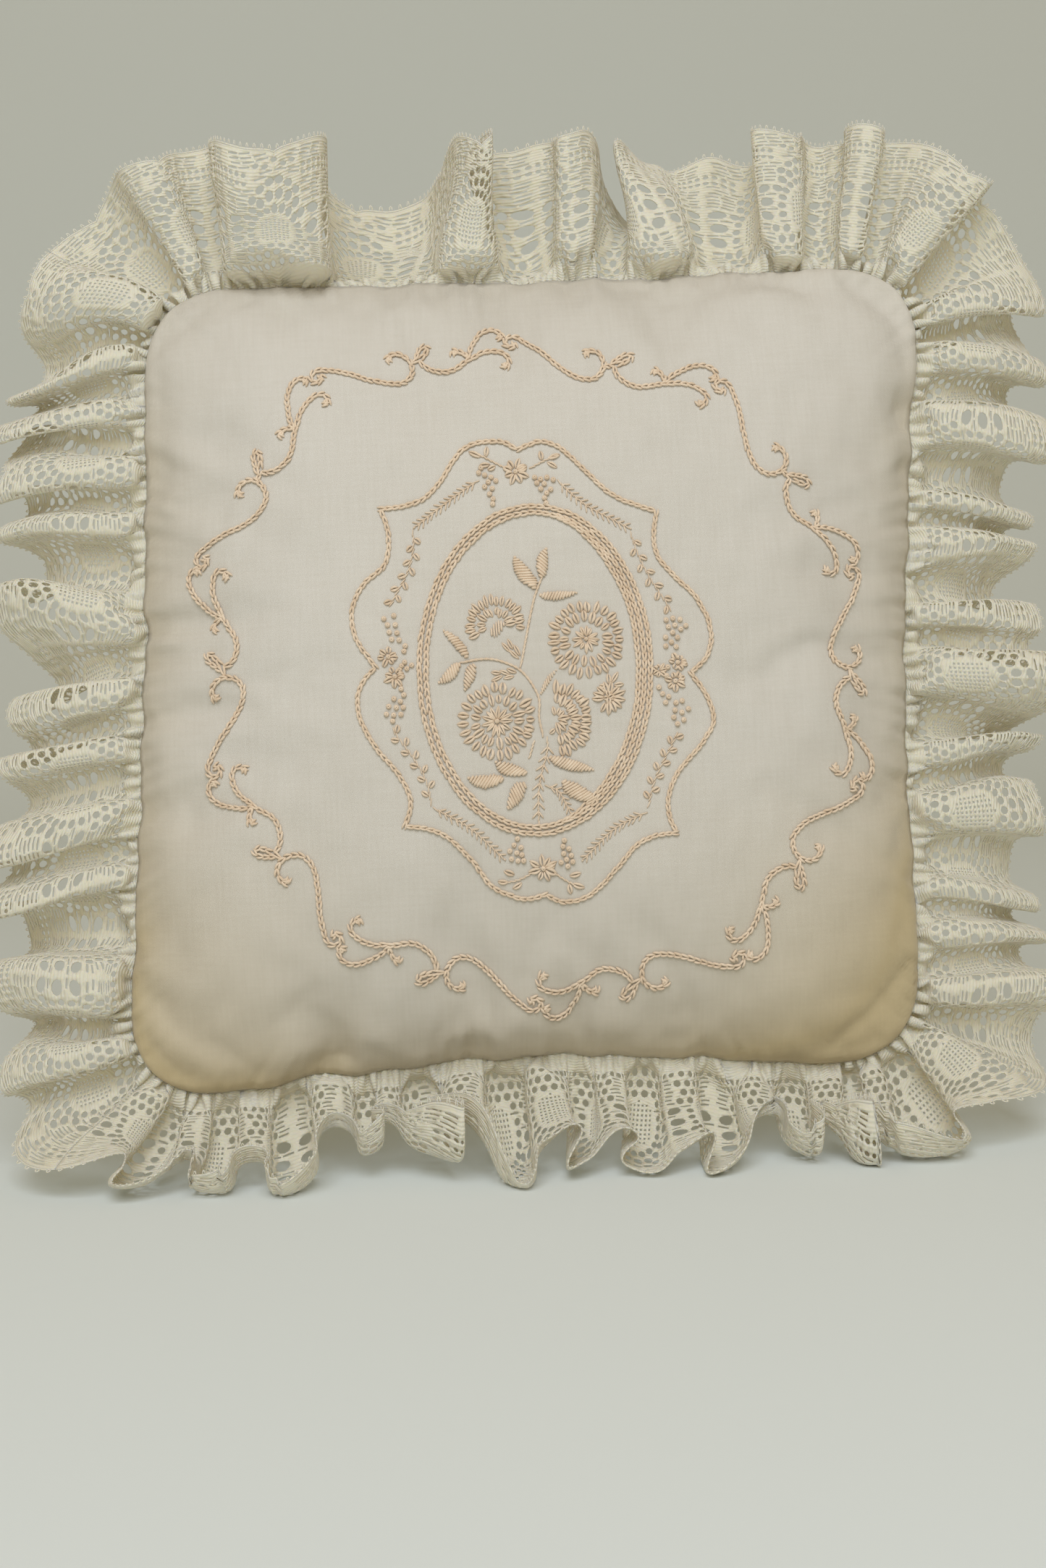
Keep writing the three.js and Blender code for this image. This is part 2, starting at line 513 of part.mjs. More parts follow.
const embroidery = {
  scalloped_frame: stitchedRing(scallopAt, 60),
  oval_frame_outer: stitchedRing(ovalAt(0), 36),
  oval_frame_inner: stitchedRing(ovalAt(1), 36),

  wreath_flower_top: joined(
    flower([-6.2, 65.8], 4.6, 8),
    sprig([[-9, 65.8], [-15.5, 69.9], [-20, 71.8]], 1.8, 3),
    sprig([[-3.4, 66.4], [4, 69.5], [8.5, 71.6]], 1.8, 3),
  ),
  wreath_flower_bottom: joined(
    flower([2.4, -65.2], 5, 8),
    sprig([[-0.6, -66], [-7.2, -69], [-11.6, -70]], 1.8, 3),
    sprig([[5.4, -66.2], [11, -69.4], [15.6, -70.8]], 1.8, 3),
  ),
  wreath_flower_left: flower([-47.2, 0.6], 4.6, 8),
  wreath_flower_right: flower([46.2, -1], 4.6, 8),
  knot_cluster_top_left: sprig([[-13.8, 64], [-14.6, 60], [-13.6, 56.6]], 1.9, 3),
  knot_cluster_top_right: sprig([[2.6, 64.4], [3.4, 60.4], [3.2, 56.8]], 1.9, 3),
  knot_cluster_bottom_left: sprig([[-6.6, -57.6], [-7.2, -60.6], [-6.8, -64.6]], 1.9, 3),
  knot_cluster_bottom_right: sprig([[10, -57.4], [10.6, -60.6], [10.2, -64.8]], 1.9, 3),
  knot_cluster_left_upper: sprig([[-46.8, 17.4], [-45.6, 12.6], [-44.6, 7.8]], 1.9, 3),
  knot_cluster_left_lower: sprig([[-45.6, -6], [-46.2, -11], [-46.6, -16.6]], 1.9, 3),
  knot_cluster_right_upper: sprig([[46.6, 16.2], [45.6, 11], [46, 5.6]], 1.9, 3),
  knot_cluster_right_lower: sprig([[44.6, -7.4], [46.2, -12.6], [46.4, -19]], 1.9, 3),
  fern_spray_top_left: sprig([[-18.2, 62.8], [-26.5, 56.8], [-38.6, 48.8]], 2.2, 9),
  fern_spray_top_right: sprig([[7.6, 63], [17.5, 55.4], [30, 48.6]], 2.2, 9),
  fern_spray_bottom_left: sprig([[-33.4, -46.6], [-21, -52.6], [-11.6, -61.6]], 2.2, 9),
  fern_spray_bottom_right: sprig([[36, -48.2], [25.6, -53.4], [16.4, -62]], 2.2, 9),
  leaf_vine_left_upper: sprig([[-40.4, 45.8], [-41.4, 33.6], [-48, 21.4]], 2.2, 7),
  leaf_vine_right_upper: sprig([[32.4, 45.4], [37.4, 32.4], [46.2, 20.6]], 2.2, 7),
  leaf_vine_left_lower: sprig([[-46, -20.4], [-38, -31.4], [-34.2, -44]], 2.2, 7),
  leaf_vine_right_lower: sprig([[46.4, -22.4], [40.8, -33.4], [37.4, -45.4]], 2.2, 7),

  bouquet_stem: joined(
    stitchedLine([
      [0.4, -47], [2.4, -33], [1.4, -17.2], [1.6, -9], [-3.9, 0.5], [-1.3, 19.3], [0.6, 24.4],
    ]),
    stitchedLine([[-3.9, 0.5], [-8.5, 3.2], [-13.3, 3.9], [-19.6, 3]]),
    stitchedLine([[1.6, -9], [3, -3.6], [6, -0.6]], SHORT_LINE_STEP),
  ),
  bud_upper_left: leaf([-0.6, 27], [-6.5, 37.6], 5),
  bud_upper: leaf([1.4, 28.6], [3, 40], 4),
  bud_right: leaf([2.6, 25], [14.2, 25], 3),
  bouquet_leaf_left_upper: leaf([-23, 4.2], [-30.2, 12.4], 3.2),
  bouquet_leaf_left: leaf([-21.6, 1.8], [-31.4, -4.8], 3.4),
  bouquet_leaf_left_lower: leaf([-20.2, -0.4], [-23.6, -7.4], 3.2),
  bouquet_flower_fan_left: flower([-12.8, 13.8], 9.8, 9, 0, 210),
  bouquet_flower_right: flower([17, 9.9], 12.8, 18),
  bouquet_flower_left: flower([-12.4, -17.2], 12.6, 18),
  bouquet_flower_fan_right: flower([5.4, -17.6], 12.4, 9, -70, 100),
  bouquet_flower_small: flower([25.4, -10.4], 5.6, 9),
  satin_leaf_left: leaf([-9.8, -37.6], [-21.4, -35.6], 4.8),
  satin_leaf_centre: leaf([-2.4, -34.4], [-12.4, -31.8], 4.2),
  satin_leaf_lower: leaf([-1.4, -38.8], [-8.8, -46.2], 5.4),
  satin_leaf_right: leaf([4.6, -30.8], [19, -33.4], 4),
  satin_leaf_right_lower: leaf([8, -37], [17.6, -41.6], 5),
  bouquet_fern: sprig([[4.6, -38.4], [8, -42.4], [11.6, -46.8]], 1.7, 4),
};

// ---------------------------------------------------------------- assembly

const pillow = new THREE.Group();
pillow.applyMatrix4(pillowToSurface);
const object = new THREE.Group();

function add(group, name, geometry, material) {
  const mesh = new THREE.Mesh(geometry, material);
  mesh.name = name;
  group.add(mesh);
}

add(pillow, 'front_cover', coverHalf(-1), sateen);
add(pillow, 'back_cover', coverHalf(1), sateen);
add(pillow, 'inner_casing_front', casingHalf(-1), muslin);
add(pillow, 'inner_casing_back', casingHalf(1), muslin);
add(pillow, 'fibre_filling', fillingSolid(), wadding);
SCROLL_STARTS.forEach((_, i) => add(pillow, `border_scroll_${i + 1}`, scroll(i), thread));
for (const [name, geometry] of Object.entries(embroidery)) add(pillow, name, geometry, thread);
['right', 'top', 'left', 'bottom'].forEach((side, i) => {
  add(object, `lace_ruffle_${side}`, ruffleSide(i), lace);
});
object.add(pillow);

// The origin is under the middle of everything, on the surface that it stands on.
const extent = new THREE.Box3().setFromObject(object, true);
const middle = extent.getCenter(new THREE.Vector3());
object.position.set(-middle.x, -middle.y, -extent.min.z);

const part = new THREE.Group();
part.add(object);
export default part;
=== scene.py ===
"""The ring bearer pillow's looks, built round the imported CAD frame. Everything is made in millimetres
in the pillow's own frame (x right, y back, z up, middle of the cushion at 0) and then put in its place."""

import math

import bpy
import numpy as np
from mathutils import Matrix, Vector
from mathutils.bvhtree import BVHTree
from mathutils.geometry import delaunay_2d_cdt


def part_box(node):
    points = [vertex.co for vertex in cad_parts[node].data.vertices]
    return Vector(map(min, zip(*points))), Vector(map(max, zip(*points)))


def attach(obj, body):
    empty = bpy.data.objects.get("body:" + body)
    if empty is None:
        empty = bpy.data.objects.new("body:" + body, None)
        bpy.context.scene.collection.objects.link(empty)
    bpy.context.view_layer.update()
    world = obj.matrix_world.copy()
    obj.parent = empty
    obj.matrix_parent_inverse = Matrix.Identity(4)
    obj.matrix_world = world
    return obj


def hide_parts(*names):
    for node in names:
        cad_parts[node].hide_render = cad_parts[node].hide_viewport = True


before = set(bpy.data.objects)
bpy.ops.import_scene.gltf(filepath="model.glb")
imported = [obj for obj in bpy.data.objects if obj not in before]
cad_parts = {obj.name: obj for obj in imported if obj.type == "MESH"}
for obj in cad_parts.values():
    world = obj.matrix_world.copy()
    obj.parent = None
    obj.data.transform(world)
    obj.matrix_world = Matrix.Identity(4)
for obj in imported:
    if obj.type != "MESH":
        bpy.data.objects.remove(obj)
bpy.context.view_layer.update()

MM = 0.001

# ------------------------------------------------------------------ driving sizes, mm

HALF_WIDTH, HALF_HEIGHT = 125.0, 128.5  # seam to seam
CORNER = 25.0  # radius of the seam's corners
CROWN = 37.0  # each face, above the seam
CROWN_SQUARENESS, CROWN_STEEPNESS = 3.1, 0.58
SEAM_OPENING = 1.1  # half the space that the covers leave for the lace
LEAN = math.radians(8)
SKEW = 0.055  # the sides lean by this share of their height
SIDE_BOW = (4.0, 0.5, 1.5, 6.5)  # how far each side pulls in: right, top, left, bottom

LACE_WIDTH = 46.0  # seam to scalloped edge
LACE_THICKNESS = 0.36
LACE_FLAT_LENGTH, LACE_REPEATS = 2414.4, 72  # once round the pillow; a repeat is one flower and one ball
CORNER_FLAT_LENGTH = 156.0  # of lace round one corner
GATHER_PITCH = 4.0
# Each side's flutes and each corner's, counter-clockwise: how wide each is beside the others.
SIDE_FLUTES = (
    (1.0, 0.7, 1.4, 0.8, 1.6, 0.7, 1.3, 0.6, 1.5, 1.0),
    (1.0, 1.7, 0.9, 1.5, 2.7),
    (0.9, 1.0, 0.8, 1.7, 1.0, 0.8, 1.2, 0.8, 2.0),
    (0.9, 1.3, 0.7, 1.3, 1.3, 0.9, 1.1, 1.2, 1.1),
)
CORNER_FLUTES = (0.8, 1.3, 0.9)
# The bottom ruffle rolls forwards: how far it has turned from straight down, at distances from the seam.
ROLL_REACHES, ROLL_TURNS = (0, 5, 15, 27, 38, 56), np.radians((0, 14, 25, 70, 120, 165))
MOST_ROLL, ROLLED_FLUTES, ROLL_CLEARANCE = 1.5, 0.76, 4.0
SIDE_BEND = 0.28  # of the same profile, backwards, at the left and right
TOP_DIP, TOP_DIP_HALF, TOP_DIP_BEND = 46.0, 13.0, 0.55  # where the top ruffle falls back

DESIGN_TURN, DESIGN_SCALE, DESIGN_MIDDLE = math.radians(-2.3), 0.915, (-0.6, -2.9)
OVAL_HALF_WIDTH, OVAL_HALF_HEIGHT = 38.5, 54.6
# Where each scroll of the border starts, in degrees counter-clockwise from the right, and how far out
# its start and its middle are pushed.
SCROLL_STARTS = (93.5, 56.6, 18, -18.9, -54.5, -89.9, -126.8, -163.1, -199.3, -234.2)
SCROLL_START_SHIFTS = (1.7, 4.1, 2.9, 3.8, 5.3, -1.9, -1.9, -1.2, 5.5, 11.8)
SCROLL_MIDDLE_SHIFTS = (0.7, 1.7, 0.5, 2.2, 1.4, -2.6, -2.4, -3.8, 6.5, 6.5)
SCROLL_DRAWN_SPAN = 36  # degrees that the drawn scroll takes up
THREAD = 0.32  # radius of one strand of embroidery thread

# Dents where the seam pulls the cloth in: side (right, top, left, bottom), place along it, depth,
# half width and length inwards.
DENTS = (
    (1, -6.5, 3.2, 4, 16), (1, 39, 3.2, 5, 13), (1, 14, 1.2, 3.5, 9), (1, -52, 1.3, 5, 11),
    (3, -66, 5.2, 6, 20), (3, -23, 2.4, 5, 12), (3, 13, 2.3, 5, 12), (3, 58, 1.5, 6, 12),
    (0, 80, 3.6, 5, 14), (0, 60, 2, 4.5, 12), (0, -40, 1.4, 6, 12), (0, 8, 0.9, 4, 9),
    (2, 19, 2.6, 3, 30), (2, 8, 2, 2.8, 24), (2, -41, 1.5, 4.5, 16), (2, -78, 1.4, 5, 13),
    (2, 70, 1.3, 5, 13), (2, 48, 0.9, 3.5, 10),
)
SEAM_PULL = 0.45  # how much of a dent the seam line takes

random = np.random.default_rng(7)

# ------------------------------------------------------------------ from the pillow's frame to the part's

low, high = (np.array(corner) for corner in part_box("fibre_filling"))
MIDDLE = (low + high) / 2
TILT = np.array(Matrix.Rotation(-LEAN, 3, "X"))


def placed(points):
    """Points of the pillow's frame, in mm, to metres of the part's frame."""
    return points @ TILT.T * MM + MIDDLE


def mesh_object(name, points, faces):
    mesh = bpy.data.meshes.new(name)
    mesh.from_pydata(np.asarray(points, dtype=float), [], faces)
    mesh.shade_smooth()
    piece = bpy.data.objects.new(name, mesh)
    bpy.context.collection.objects.link(piece)
    return piece


def triangle_object(name, points, triangles, material):
    """As mesh_object, but quick for hundreds of thousands of triangles."""
    mesh = bpy.data.meshes.new(name)
    triangles = np.asarray(triangles, dtype=np.int32)
    mesh.vertices.add(len(points))
    mesh.vertices.foreach_set("co", np.asarray(points, dtype=np.float32).ravel())
    mesh.loops.add(triangles.size)
    mesh.loops.foreach_set("vertex_index", triangles.ravel())
    mesh.polygons.add(len(triangles))
    mesh.polygons.foreach_set("loop_start", np.arange(0, triangles.size, 3, dtype=np.int32))
    mesh.update(calc_edges=True)
    mesh.shade_smooth()
    mesh.materials.append(material)
    piece = bpy.data.objects.new(name, mesh)
    bpy.context.collection.objects.link(piece)
    return piece


def smoothstep(value, start=0.0, end=1.0):
    share = np.clip((value - start) / (end - start), 0, 1)
    return share * share * (3 - 2 * share)


# ------------------------------------------------------------------ the seam's outline

QUARTER = math.pi / 2 * CORNER
INSIDE = (HALF_WIDTH - CORNER, HALF_HEIGHT - CORNER)
SIDE_LENGTHS = (2 * INSIDE[1], 2 * INSIDE[0], 2 * INSIDE[1], 2 * INSIDE[0])
SIDE_STARTS = np.concatenate([[0], np.cumsum([QUARTER + side for side in SIDE_LENGTHS])])
PERIMETER = SIDE_STARTS[-1]


def outline(distance):
    """The seam, counter-clockwise from the bottom right corner: points and outward normals. Each side
    has the corner before it and then its straight run, which pulls in a little between the corners."""
    distance = np.asarray(distance, dtype=float) % PERIMETER
    side = np.clip(np.searchsorted(SIDE_STARTS, distance, side="right") - 1, 0, 3)
    along = distance - SIDE_STARTS[side]
    angle = side * math.pi / 2 - math.pi / 2 + np.minimum(along, QUARTER) / CORNER
    normal = np.stack([np.cos(angle), np.sin(angle)], axis=-1)
    tangent = np.stack([-normal[..., 1], normal[..., 0]], axis=-1)
    centre = np.stack(
        [np.where(side < 2, 1, -1) * INSIDE[0], np.where((side == 1) | (side == 2), 1, -1) * INSIDE[1]],
        axis=-1,
    )
    run = np.maximum(along - QUARTER, 0)
    share = run / np.take(SIDE_LENGTHS, side)
    bow = np.take(SIDE_BOW, side) * np.sin(math.pi * share) ** 1.5
    place = np.where((side == 0) | (side == 3), 1, -1) * (run - np.take(SIDE_LENGTHS, side) / 2)
    for dent_side, middle, depth, half, _ in DENTS:
        bow += SEAM_PULL * depth * np.exp(-(((place - middle) / (1.3 * half)) ** 2)) * (side == dent_side)
    puckers = 0.4 * np.sin(run / 3.9 + 2 * side) + 0.35 * np.sin(run / 2.3 + side)
    bow += puckers * np.sin(math.pi * share) ** 0.5
    point = centre + normal * (CORNER - bow)[..., None] + tangent * run[..., None]
    point[..., 0] += SKEW * point[..., 1]
    return point, normal


# ------------------------------------------------------------------ materials


def new_material(name, color, roughness, sheen=0.0):
    material = bpy.data.materials.new(name)
    material.use_nodes = True
    shader = material.node_tree.nodes["Principled BSDF"]
    shader.inputs["Base Color"].default_value = (*color, 1)
    shader.inputs["Roughness"].default_value = roughness
    shader.inputs["Sheen Weight"].default_value = sheen
    shader.inputs["Sheen Roughness"].default_value = 0.5
    shader.inputs["Specular IOR Level"].default_value = 0.3
    return material, material.node_tree.nodes, material.node_tree.links, shader


def node(nodes, kind, **settings):
    made = nodes.new(kind)
    for key, value in settings.items():
        if key in made.inputs:
            made.inputs[key].default_value = value
        else:
            setattr(made, key, value)
    return made


def sateen_material():
    material, nodes, links, shader = new_material("ivory_sateen", (0.70, 0.655, 0.565), 0.6, 0.25)
    place = nodes.new("ShaderNodeTexCoord")
    tint = node(nodes, "ShaderNodeTexNoise", Scale=9.0, Detail=4.0)
    ramp = nodes.new("ShaderNodeValToRGB")
    ramp.color_ramp.elements[0].position = 0.35
    ramp.color_ramp.elements[0].color = (0.64, 0.60, 0.525, 1)
    ramp.color_ramp.elements[1].position = 0.65
    ramp.color_ramp.elements[1].color = (0.715, 0.68, 0.615, 1)
    links.new(place.outputs["Object"], tint.inputs["Vector"])
    # Painted shade: this attribute multiplies the sateen's colour darker and warmer towards the lower corners
    # and along the seam.
    painted_shade = node(nodes, "ShaderNodeAttribute", attribute_name="painted_shade")
    painted_shade_mix = node(nodes, "ShaderNodeMixRGB", blend_type="MULTIPLY", Color2=(0.82, 0.71, 0.47, 1))
    links.new(painted_shade.outputs["Fac"], painted_shade_mix.inputs["Fac"])
    links.new(ramp.outputs["Color"], painted_shade_mix.inputs["Color1"])
    links.new(painted_shade_mix.outputs["Color"], shader.inputs["Base Color"])
    slubs = tint.outputs["Fac"]
    for stretch in ((70, 1, 1100), (1100, 1, 70)):
        mapping = node(nodes, "ShaderNodeMapping", Scale=stretch)
        threads = node(nodes, "ShaderNodeTexNoise", Scale=1.0, Detail=3.0)
        mix = node(nodes, "ShaderNodeMix", Factor=0.28)
        links.new(place.outputs["Object"], mapping.inputs["Vector"])
        links.new(mapping.outputs["Vector"], threads.inputs["Vector"])
        links.new(slubs, mix.inputs["A"])
        links.new(threads.outputs["Fac"], mix.inputs["B"])
        slubs = mix.outputs["Result"]
    links.new(slubs, ramp.inputs["Fac"])
    bumps = []
    for turn in (45, -45):
        mapping = nodes.new("ShaderNodeMapping")
        mapping.inputs["Rotation"].default_value = (0, math.radians(turn), 0)
        wave = node(nodes, "ShaderNodeTexWave", Scale=900.0, Distortion=1.5, Detail=1.0)
        wave.inputs["Detail Scale"].default_value = 40.0
        links.new(place.outputs["Object"], mapping.inputs["Vector"])
        links.new(mapping.outputs["Vector"], wave.inputs["Vector"])
        bumps.append(wave)
    weave = node(nodes, "ShaderNodeMath", operation="ADD")
    links.new(bumps[0].outputs["Fac"], weave.inputs[0])
    links.new(bumps[1].outputs["Fac"], weave.inputs[1])
    uneven = node(nodes, "ShaderNodeMath", operation="MULTIPLY_ADD")
    uneven.inputs[1].default_value = 3.0
    links.new(slubs, uneven.inputs[0])
    links.new(weave.outputs["Value"], uneven.inputs[2])
    bump = node(nodes, "ShaderNodeBump", Strength=0.35, Distance=0.00014)
    links.new(uneven.outputs["Value"], bump.inputs["Height"])
    links.new(bump.outputs["Normal"], shader.inputs["Normal"])
    return material


def plain_cloth_material(name, color):
    material, nodes, links, shader = new_material(name, color, 0.85, 0.1)
    place = nodes.new("ShaderNodeTexCoord")
    noise = node(nodes, "ShaderNodeTexNoise", Scale=600.0, Detail=3.0)
    bump = node(nodes, "ShaderNodeBump", Strength=0.4, Distance=0.0003)
    links.new(place.outputs["Object"], noise.inputs["Vector"])
    links.new(noise.outputs["Fac"], bump.inputs["Height"])
    links.new(bump.outputs["Normal"], shader.inputs["Normal"])
    return material


def thread_material():
    material, nodes, links, shader = new_material("embroidery_thread", (0.62, 0.49, 0.35), 0.55, 0.35)
    place = nodes.new("ShaderNodeTexCoord")
    tint = node(nodes, "ShaderNodeTexNoise", Scale=260.0, Detail=2.0)
    ramp = nodes.new("ShaderNodeValToRGB")
    ramp.color_ramp.elements[0].position = 0.3
    ramp.color_ramp.elements[0].color = (0.74, 0.575, 0.41, 1)
    ramp.color_ramp.elements[1].position = 0.72
    ramp.color_ramp.elements[1].color = (0.86, 0.71, 0.545, 1)
    links.new(place.outputs["Object"], tint.inputs["Vector"])
    links.new(tint.outputs["Fac"], ramp.inputs["Fac"])
    links.new(ramp.outputs["Color"], shader.inputs["Base Color"])
    fuzz = node(nodes, "ShaderNodeTexNoise", Scale=3200.0, Detail=2.0)
    bump = node(nodes, "ShaderNodeBump", Strength=0.5, Distance=0.0001)
    links.new(place.outputs["Object"], fuzz.inputs["Vector"])
    links.new(fuzz.outputs["Fac"], bump.inputs["Height"])
    links.new(bump.outputs["Normal"], shader.inputs["Normal"])
    return material


def lace_material():
    material, nodes, links, shader = new_material("cotton_lace", (0.79, 0.74, 0.61), 0.8, 0.15)
    shader.inputs["Subsurface Weight"].default_value = 0.5
    shader.inputs["Subsurface Radius"].default_value = (1.0, 0.78, 0.45)
    shader.inputs["Subsurface Scale"].default_value = 0.0012
    flat = node(nodes, "ShaderNodeAttribute", attribute_name="flat")
    wave = node(nodes, "ShaderNodeTexWave", Scale=0.33, Distortion=1.0, Detail=1.0, bands_direction="Z")
    wave.inputs["Detail Scale"].default_value = 0.6
    bump = node(nodes, "ShaderNodeBump", Strength=0.6, Distance=0.0003)
    links.new(flat.outputs["Vector"], wave.inputs["Vector"])
    links.new(wave.outputs["Fac"], bump.inputs["Height"])
    links.new(bump.outputs["Normal"], shader.inputs["Normal"])
    return material


SATEEN = sateen_material()
MUSLIN = plain_cloth_material("muslin", (0.76, 0.72, 0.63))
WADDING = plain_cloth_material("wadding", (0.86, 0.85, 0.81))
THREADS = thread_material()
LACE = lace_material()

# ------------------------------------------------------------------ the covers

GRID = 84  # squares across a cover, before it is subdivided once
PRESSURE_FRAMES = 20
MOST_MOVED, BLOWN = 9.0, 7.0  # at the most, and in the middle of a face


def square_grid(count):
    """Points of a cover inside the seam: the outline's four sides blended across."""
    corners = SIDE_STARTS[:4] + QUARTER / 2
    ends = np.append(corners[1:], corners[0] + PERIMETER)
    runs = [np.linspace(start, end, count + 1) for start, end in zip(corners, ends)]
    right, top, left, bottom = (outline(run)[0] for run in runs)
    top, left = top[::-1], left[::-1]
    u = np.linspace(0, 1, count + 1)[:, None, None]
    v = np.linspace(0, 1, count + 1)[None, :, None]
    across = (1 - u) * left[None, :] + u * right[None, :]
    upward = (1 - v) * bottom[:, None] + v * top[:, None]
    low_corners = (1 - u) * bottom[0] + u * bottom[-1]
    high_corners = (1 - u) * top[0] + u * top[-1]
    return across + upward - (1 - v) * low_corners - v * high_corners


SEAM_SAMPLES = np.linspace(0, PERIMETER, 3000, endpoint=False)
SEAM_POINTS = outline(SEAM_SAMPLES)[0]
SEAM_ANGLES = np.arctan2(SEAM_POINTS[:, 1], SEAM_POINTS[:, 0])


def towards_seam(points):
    """For places on a face: how far the seam is from the middle in that direction, and how far along."""
    order = np.argsort(SEAM_ANGLES)
    angle = np.arctan2(points[..., 1], points[..., 0])
    radius = np.interp(angle, SEAM_ANGLES[order], np.hypot(*SEAM_POINTS.T)[order], period=2 * math.pi)
    unrolled = np.unwrap(SEAM_ANGLES)
    turned = np.mod(angle - unrolled[0], 2 * math.pi) + unrolled[0]
    along = np.interp(turned, unrolled, SEAM_SAMPLES)
    return radius, along


def seam_share(points):
    """1 at the seam, 0 in the middle: square level lines outside, round ones inside."""
    radius = np.hypot(points[..., 0], points[..., 1])
    angle = np.arctan2(points[..., 1], points[..., 0])
    square, _ = towards_seam(points)
    upright = np.cos(angle) - SKEW * np.sin(angle)
    oval = 1 / np.hypot(upright / HALF_WIDTH, np.sin(angle) / HALF_HEIGHT)
    low, high = np.zeros_like(radius), np.ones_like(radius)
    for _ in range(26):
        level = (low + high) / 2
        inside = level * (level**4 * square + (1 - level**4) * oval) < radius
        low, high = np.where(inside, level, low), np.where(inside, high, level)
    return low


def crown(points, height):
    return height * (1 - seam_share(points) ** CROWN_SQUARENESS) ** CROWN_STEEPNESS


def waves(count, shortest, longest, size=1.0):
    """A smooth random function of two coordinates, in mm."""
    lengths = random.uniform(shortest, longest, count)
    turns = random.uniform(0, 2 * math.pi, count)
    phases = random.uniform(0, 2 * math.pi, count)

    def height(x, z):
        total = 0
        for length, turn, phase in zip(lengths, turns, phases):
            total = total + np.sin((x * math.cos(turn) + z * math.sin(turn)) * 2 * math.pi / length + phase)
        return total * size * math.sqrt(2 / count)

    return height


def ripples(shortest, longest, count=9):
    """A smooth random function along the seam, which joins up after one turn."""
    turns = random.integers(round(PERIMETER / longest), round(PERIMETER / shortest), count)
    phases = random.uniform(0, 2 * math.pi, count)

    def height(along):
        angle = 2 * math.pi * np.asarray(along)[..., None] / PERIMETER * turns + phases
        return np.sin(angle).sum(axis=-1) * math.sqrt(2 / count)

    return height


def grid_quads(count, flip):
    index = np.arange((count + 1) ** 2).reshape(count + 1, count + 1)
    quads = np.stack([index[:-1, :-1], index[1:, :-1], index[1:, 1:], index[:-1, 1:]], axis=-1).reshape(-1, 4)
    return quads[:, ::-1] if flip else quads


def read_points(mesh, kind="co"):
    source = mesh.vertices if kind == "co" else mesh.vertex_normals
    values = np.empty(3 * len(mesh.vertices))
    source.foreach_get("co" if kind == "co" else "vector", values)
    return values.reshape(-1, 3)


def blow_out(piece, rim):
    """Runs the cloth for a few steps under pressure, with its rim held, and keeps what it gives."""
    group = piece.vertex_groups.new(name="seam")
    group.add([int(i) for i in rim], 1.0, "REPLACE")
    cloth = piece.modifiers.new("cloth", "CLOTH")
    settings = cloth.settings
    settings.quality = 6
    settings.mass = 0.2
    settings.tension_stiffness = settings.compression_stiffness = 25
    settings.shear_stiffness = 10
    settings.bending_stiffness = 0.4
    settings.use_pressure = True
    settings.uniform_pressure_force = 4
    settings.shrink_min = -0.03
    settings.vertex_group_mass = "seam"
    settings.effector_weights.gravity = 0
    cloth.point_cache.frame_start, cloth.point_cache.frame_end = 1, PRESSURE_FRAMES
    before = read_points(piece.data)
    for step in range(1, PRESSURE_FRAMES + 1):
        bpy.context.scene.frame_set(step)
    moved = read_points(piece.evaluated_get(bpy.context.evaluated_depsgraph_get()).data) - before
    bpy.context.scene.frame_set(1)
    piece.modifiers.clear()
    share = np.maximum(np.linalg.norm(moved, axis=1, keepdims=True), 1e-9) / (MOST_MOVED * MM)
    capped = before + moved * np.tanh(share) / share
    piece.data.vertices.foreach_set("co", capped.ravel())
    piece.data.update()


def apply_modifiers(piece):
    finished = bpy.data.meshes.new_from_object(piece.evaluated_get(bpy.context.evaluated_depsgraph_get()))
    piece.modifiers.clear()
    piece.data = finished


